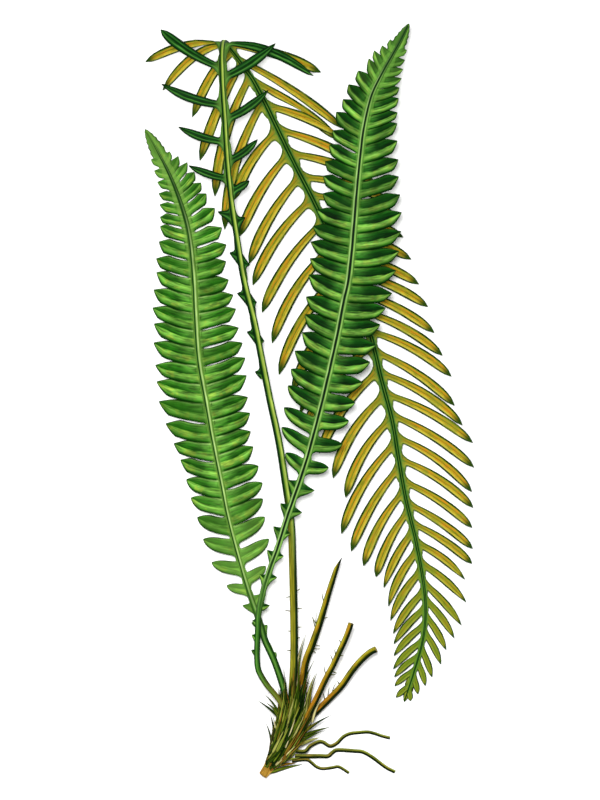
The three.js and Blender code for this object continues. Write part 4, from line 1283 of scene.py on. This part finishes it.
for name, stub in stubs.items():
    bm = tube_mesh()
    add_tube(bm, stub["path"], stub["radius"], sides=18, spacing=1.5, profile=RIDGED)
    if name == SLANT["stub"]:
        length = stub["path"].length
        everything = [*bm.verts, *bm.edges, *bm.faces]
        bmesh.ops.bisect_plane(bm, geom=everything, plane_co=stub["path"].point(length - SLANT["back"]),
                               plane_no=SLANT["lean"], clear_outer=True)
        open_edges = [edge for edge in bm.edges if edge.is_boundary]
        bmesh.ops.edgeloop_fill(bm, edges=open_edges)
    cuts = [face for face in bm.faces if len(face.verts) > MOST_SIDES]
    bmesh.ops.inset_individual(bm, faces=cuts, thickness=CUT_RIM, depth=-CUT_DEPTH, use_even_offset=True)
    for cut in cuts:
        cut.material_index = 1
        cut.smooth = False
    make_piece(bm, name + "_stem", [old_stipe, pith], name)
for name, root in roots.items():
    bm = tube_mesh()
    wide = [(along, radius * ROOT_WIDER) for along, radius in root["radius"]]
    add_tube(bm, root["path"], wide, sides=12, spacing=0.8, flat=ROOT_FLAT, profile=RIDGED)
    make_piece(bm, name + "_wire", [root_bark], name)

# %% The hairs: (place along the stem, side, how far out, how far forward)
HAIRS = {
    "fertile_frond": [
        (41, -1, 2.0, -0.4), (50.5, -1, 1.6, 0.3), (60.5, -1, 2.8, 0.8), (68, -1, 2.0, -0.6),
        (52.5, 1, 2.4, 0.2), (62, 1, 2.6, -0.3), (70.5, 1, 1.8, 1.6), (47, 1, 1.2, 0.6),
    ],
    "old_stipe_tall": [
        (46, -1, 2.4, 5.0), (47, -1, 1.4, 7.0), (48, -1, 3.4, 3.6), (60, -1, 1.6, 4.4),
        (38, 1, 2.6, 0.5), (36, 1, 3.0, 1.4), (35, 1, 1.8, -0.6), (52, 1, 1.6, 1.6),
    ],
    "old_stipe_middle": [
        (38, -1, 2.0, 2.6), (41, -1, 1.2, 3.6), (30, -1, 2.8, 4.4), (48, -1, 1.4, 1.2),
        (31, 1, 1.8, 1.8), (33, 1, 2.2, 0.4), (42, 1, 1.2, 0.6),
    ],
    "old_stipe_low": [
        (24, -1, 2.4, 4.6), (27, -1, 1.6, 5.4), (22, -1, 2.6, 2.2), (33, -1, 1.8, 1.0),
    ],
}
HAIR_RADIUS = [(0, 0.4), (1, 0.3), (6, 0.14)]
HAIR_FROM = 0.6  # a hair starts inside its stem, at this share of the stem's radius
HAIR_BEND = 0.3
hair_stems = {"fertile_frond": fertile_frond, **stubs}
for name, hairs in HAIRS.items():
    stem = hair_stems[name]
    bm = tube_mesh()
    for along, side, out, ahead in hairs:
        forward = stem["path"].forward(along)
        right = forward.cross(Vector((0, 0, 1))).normalized() * side
        radius = keyed(stem["radius"], along)
        start = stem["path"].point(along) + right * (radius * HAIR_FROM)
        tip = start + right * (out + radius * (1 - HAIR_FROM)) + forward * ahead
        bent = start.lerp(tip, 0.5) + (right + Vector((0, 0, 1))) * HAIR_BEND
        add_tube(bm, Route([start, bent, tip]), HAIR_RADIUS, sides=6, spacing=0.8, pointed=True)
    make_piece(bm, name + "_hairs", [root_bark], name)

# %% [markdown]
# ## The rootstock and its scales
#
# The rootstock is a short knobbly stem, broken at its lower end, and wrapped in chaffy scales: long,
# thin, pointed and dry. A bumpy surface with a scale pattern would look right from above only, because
# at the edges the real scales stand off and show as points. So the core is one tube, and each scale is
# a narrow grid bent from its root to its tip. Most are laid round the core by the golden angle, as
# they grow, and those that stand out on the plate are set one by one.

# %% The core
core_axis = Route([
    (-10.5, -11.5, 3), (-6.5, -6, 4.6), (-2, 0, 6.4), (0.5, 6, 7), (3, 13, 7.4), (4, 21, 7.6),
    (4.5, 27, 7.8),
])
core_width = [(0, 2.3), (5, 2.8), (10, 4.6), (15, 6.6), (24, 8.2), (32, 7.2), (38, 4.5)]
core_height = [(0, 2.2), (5, 3.8), (10, 6.6), (15, 8), (24, 8.5), (32, 7.4), (38, 4.5)]
print("core length:", round(core_axis.length, 1), "mm")


# %% The core's finish, and the core itself
CORE_FLOOR = 0.05  # the core keeps this much above the table
BREAK_RIM = 0.4


def core_finish():
    """Fibrous dark olive, with its broken lower neck in orange wood."""
    material, tree, _ = new_material("rootstock_core", 0.85)
    _, _, run, fibres = stem_reading(tree, 7.0)
    tint = blend(tree, fade(tree, fibres, 0.42, 0.62), colour("1c2c08"), colour("6a5a1c"))
    neck = blend(tree, fade(tree, fibres, 0.42, 0.56), colour("a8761f"), colour("f0bc50"))
    tint = blend(tree, fade(tree, run, 0.45, 0.95), neck, tint)
    return finished(material, tint, fibres, 1.0, 0.0012)


bm = tube_mesh()
add_tube(bm, core_axis, core_width, sides=24, spacing=1.2, profile=RIDGED)
for vert in bm.verts:
    vert.co.z = max(vert.co.z, CORE_FLOOR)
broken_ends = [face for face in bm.faces if len(face.verts) > MOST_SIDES]
bmesh.ops.inset_individual(bm, faces=broken_ends, thickness=BREAK_RIM, depth=-BREAK_RIM,
                           use_even_offset=True)
make_piece(bm, "rootstock_core", [core_finish()], "rootstock")


# %% The finish of the scales
def chaff_finish():
    """Dry scales in dark green, olive, brown and cream, each of its own tint, with dark edges."""
    material, tree, _ = new_material("chaffy_scales", 0.75)
    along, across, _, tone, streaks = leaf_reading(tree, 3.0)
    tint = bands(tree, tone, [
        (0.0, "081e02"), (0.18, "1e3c04"), (0.34, "465e08"), (0.52, "6c801c"), (0.62, "946018"),
        (0.72, "7c8e2a"), (0.86, "a0ac3c"), (0.94, "d4cc7c"), (1.0, "f4e8b4")])
    tint = graded(tree, tint, streaks, 0.34, 0.64, 1.35, 0.5)
    tint = painted(tree, tint, [
        (fade(tree, from_middle(tree, across), 0.24, 0.44, 0.85), colour("0e1e04")),
        (fade(tree, along, 1.3, 2.6, 0.5), colour("3c5414")),
    ])
    return finished(material, tint, streaks, 0.6, 0.0004)


chaff = chaff_finish()
print("scale finish:", chaff.name)

# %% One scale
SCALE_EDGE = [(0, 0.7), (0.22, 1), (0.5, 0.72), (0.8, 0.32), (1, 0)]
SCALE_FLOOR = 0.35  # a scale's points keep this much above the table
SCALE_CELLS = (10, 2)
SCALE_RIDGE = 0.5  # how far its middle stands up, as a share of its half width
SCALE_THICKNESS = 0.22


def add_scale(bm, root, tip, outwards, width, curl, tone):
    """A narrow pointed blade from its root to its tip, curled outwards."""
    span = tip - root
    side = span.cross(outwards).normalized()
    outwards = side.cross(span).normalized()
    grid = bmesh.ops.create_grid(bm, x_segments=SCALE_CELLS[0], y_segments=SCALE_CELLS[1], size=1)
    notes = {}
    for vert in grid["verts"]:
        t = (vert.co.x + 1) / 2
        across = vert.co.y
        middle = root + span * t - outwards * (span.length * curl * math.sin(math.pi * t))
        half = width / 2 * keyed(SCALE_EDGE, t)
        notes[vert] = (t * span.length / 10, across, t)
        ridge = half * SCALE_RIDGE * (1 - abs(across))
        vert.co = middle + side * (half * across) + outwards * ridge
        vert.co.z = max(vert.co.z, SCALE_FLOOR)
    note_faces(bm, notes, 0.0, tone)


# %% Scales that wrap the core
WRAP = {
    "count": 300, "seed": 11, "from": 0.1, "span": 0.82, "bare": -0.6, "sunk": 0.6,
    "length": (10, 20), "width": (1.0, 2.0), "flare": (0.0, 0.17), "lean": 0.1, "curl": 0.02,
}
GOLDEN_ANGLE = math.pi * (3 - math.sqrt(5))

scales = sheet_mesh()
draw = random.Random(WRAP["seed"])
for number in range(WRAP["count"]):
    along = core_axis.length * (WRAP["from"] + WRAP["span"] * number / WRAP["count"])
    across, above = math.cos(GOLDEN_ANGLE * number), math.sin(GOLDEN_ANGLE * number)
    length = draw.uniform(*WRAP["length"])
    flare = draw.uniform(*WRAP["flare"])
    lean = draw.uniform(-WRAP["lean"], WRAP["lean"])
    width = draw.uniform(*WRAP["width"])
    tone = draw.random()
    if above < WRAP["bare"]:
        continue
    forward = core_axis.forward(along)
    right = forward.cross(Vector((0, 0, 1))).normalized()
    outwards = (right * across + right.cross(forward) * above).normalized()
    radius = math.hypot(keyed(core_width, along) * across, keyed(core_height, along) * above)
    root = core_axis.point(along) + outwards * (radius - WRAP["sunk"])
    tip = root + (forward + outwards * flare + forward.cross(outwards) * lean) * length
    add_scale(scales, root, tip, outwards, width, WRAP["curl"], tone)
print("wrapping scales:", len(scales.faces) // math.prod(SCALE_CELLS))

# %% Scales that stand out on the plate, each with its root, its tip, its width and its tint
STANDING = [
    ((-1.5, 16.2, 9), (-13.7, 26.2, 9.5), 1.5, 0.2),
    ((-2.7, 20, 10), (-9.8, 29.1, 11), 1.4, 0.3),
    ((-0.8, 16.8, 10), (-8.9, 24.9, 10.5), 1.8, 0.5),
    ((-1.5, 14, 10.5), (-7, 23.5, 12), 1.4, 0.45),
    ((-6.2, 1.4, 7), (-8.9, 14.4, 8.5), 1.5, 0.25),
    ((-5.4, 3.4, 8.5), (-6.8, 19, 11), 1.8, 0.12),
    ((-4.4, 3.5, 10.5), (-5.4, 17.6, 13), 2.2, 0.98),
    ((-2.6, 2.4, 11.5), (-3.4, 17, 14.2), 1.5, 0.5),
    ((-1.2, 1.4, 12), (-1.2, 16, 15), 1.4, 0.28),
    ((6.5, 27, 10), (10.1, 58, 13), 2.1, 0.97),
    ((8, 27, 11), (11.1, 59.6, 13), 1.3, 0.5),
    ((8.6, 25, 11), (15.3, 46.5, 13), 1.4, 0.3),
    ((11, 19, 11), (15.7, 39.3, 14), 2.2, 0.9),
    ((12.5, 18, 11.5), (16.8, 40.5, 14.5), 1.6, 0.55),
    ((9.5, 20, 12), (13.2, 38.5, 14.5), 1.4, 0.2),
    ((14, 15, 12.5), (19.5, 27.8, 14.5), 1.8, 0.96),
    ((10, 9.8, 10), (24, 18.8, 12), 1.6, 0.2),
    ((9, 8, 8.5), (23.3, 12.7, 9), 1.8, 0.4),
    ((7, 3.4, 7.5), (18.2, 7.5, 7.5), 2.1, 0.9),
    ((8.5, 5.5, 8.5), (19.5, 10.8, 8.6), 1.5, 0.3),
    ((10.8, 10.5, 10), (16.9, 15.2, 11), 1.8, 0.55),
    ((1.5, 1, 13.5), (1.2, 17, 15.6), 1.3, 0.62),
    ((2.6, 7, 14.6), (2, 24, 15.8), 1.2, 0.63),
    ((2.4, 15, 15.2), (0.8, 32, 14.8), 1.1, 0.61),
    ((4.5, 9, 14.4), (6, 26, 15.4), 1.2, 0.9),
    ((-7.5, -10.2, 4), (9.5, -6, 2.2), 2.2, 0.5),
    ((-6, -7, 6.5), (6.6, -5.3, 4), 2.1, 0.6),
    ((-4.5, -5, 8.2), (8.6, -2.6, 6), 1.9, 0.85),
    ((-3.5, -3, 9.4), (7.4, 1.6, 8.2), 1.8, 0.66),
]
STANDING_CURL = 0.1
FACES_OUT = 0.6  # a standing scale's face looks this much to its own side
FACES_UP = 0.8  # and this much up
SAME_POINT = 0.0005  # the points of a scale's tip are one point
for root, tip, width, tone in STANDING:
    leaning = FACES_OUT if tip[0] > root[0] else -FACES_OUT
    facing = Vector((leaning, 0, FACES_UP))
    add_scale(scales, Vector(root), Vector(tip), facing, width, STANDING_CURL, tone)
bmesh.ops.remove_doubles(scales, verts=scales.verts, dist=SAME_POINT)
scale_coat = make_piece(scales, "rootstock_scale_coat", [chaff], "rootstock")
thicken(scale_coat, SCALE_THICKNESS)
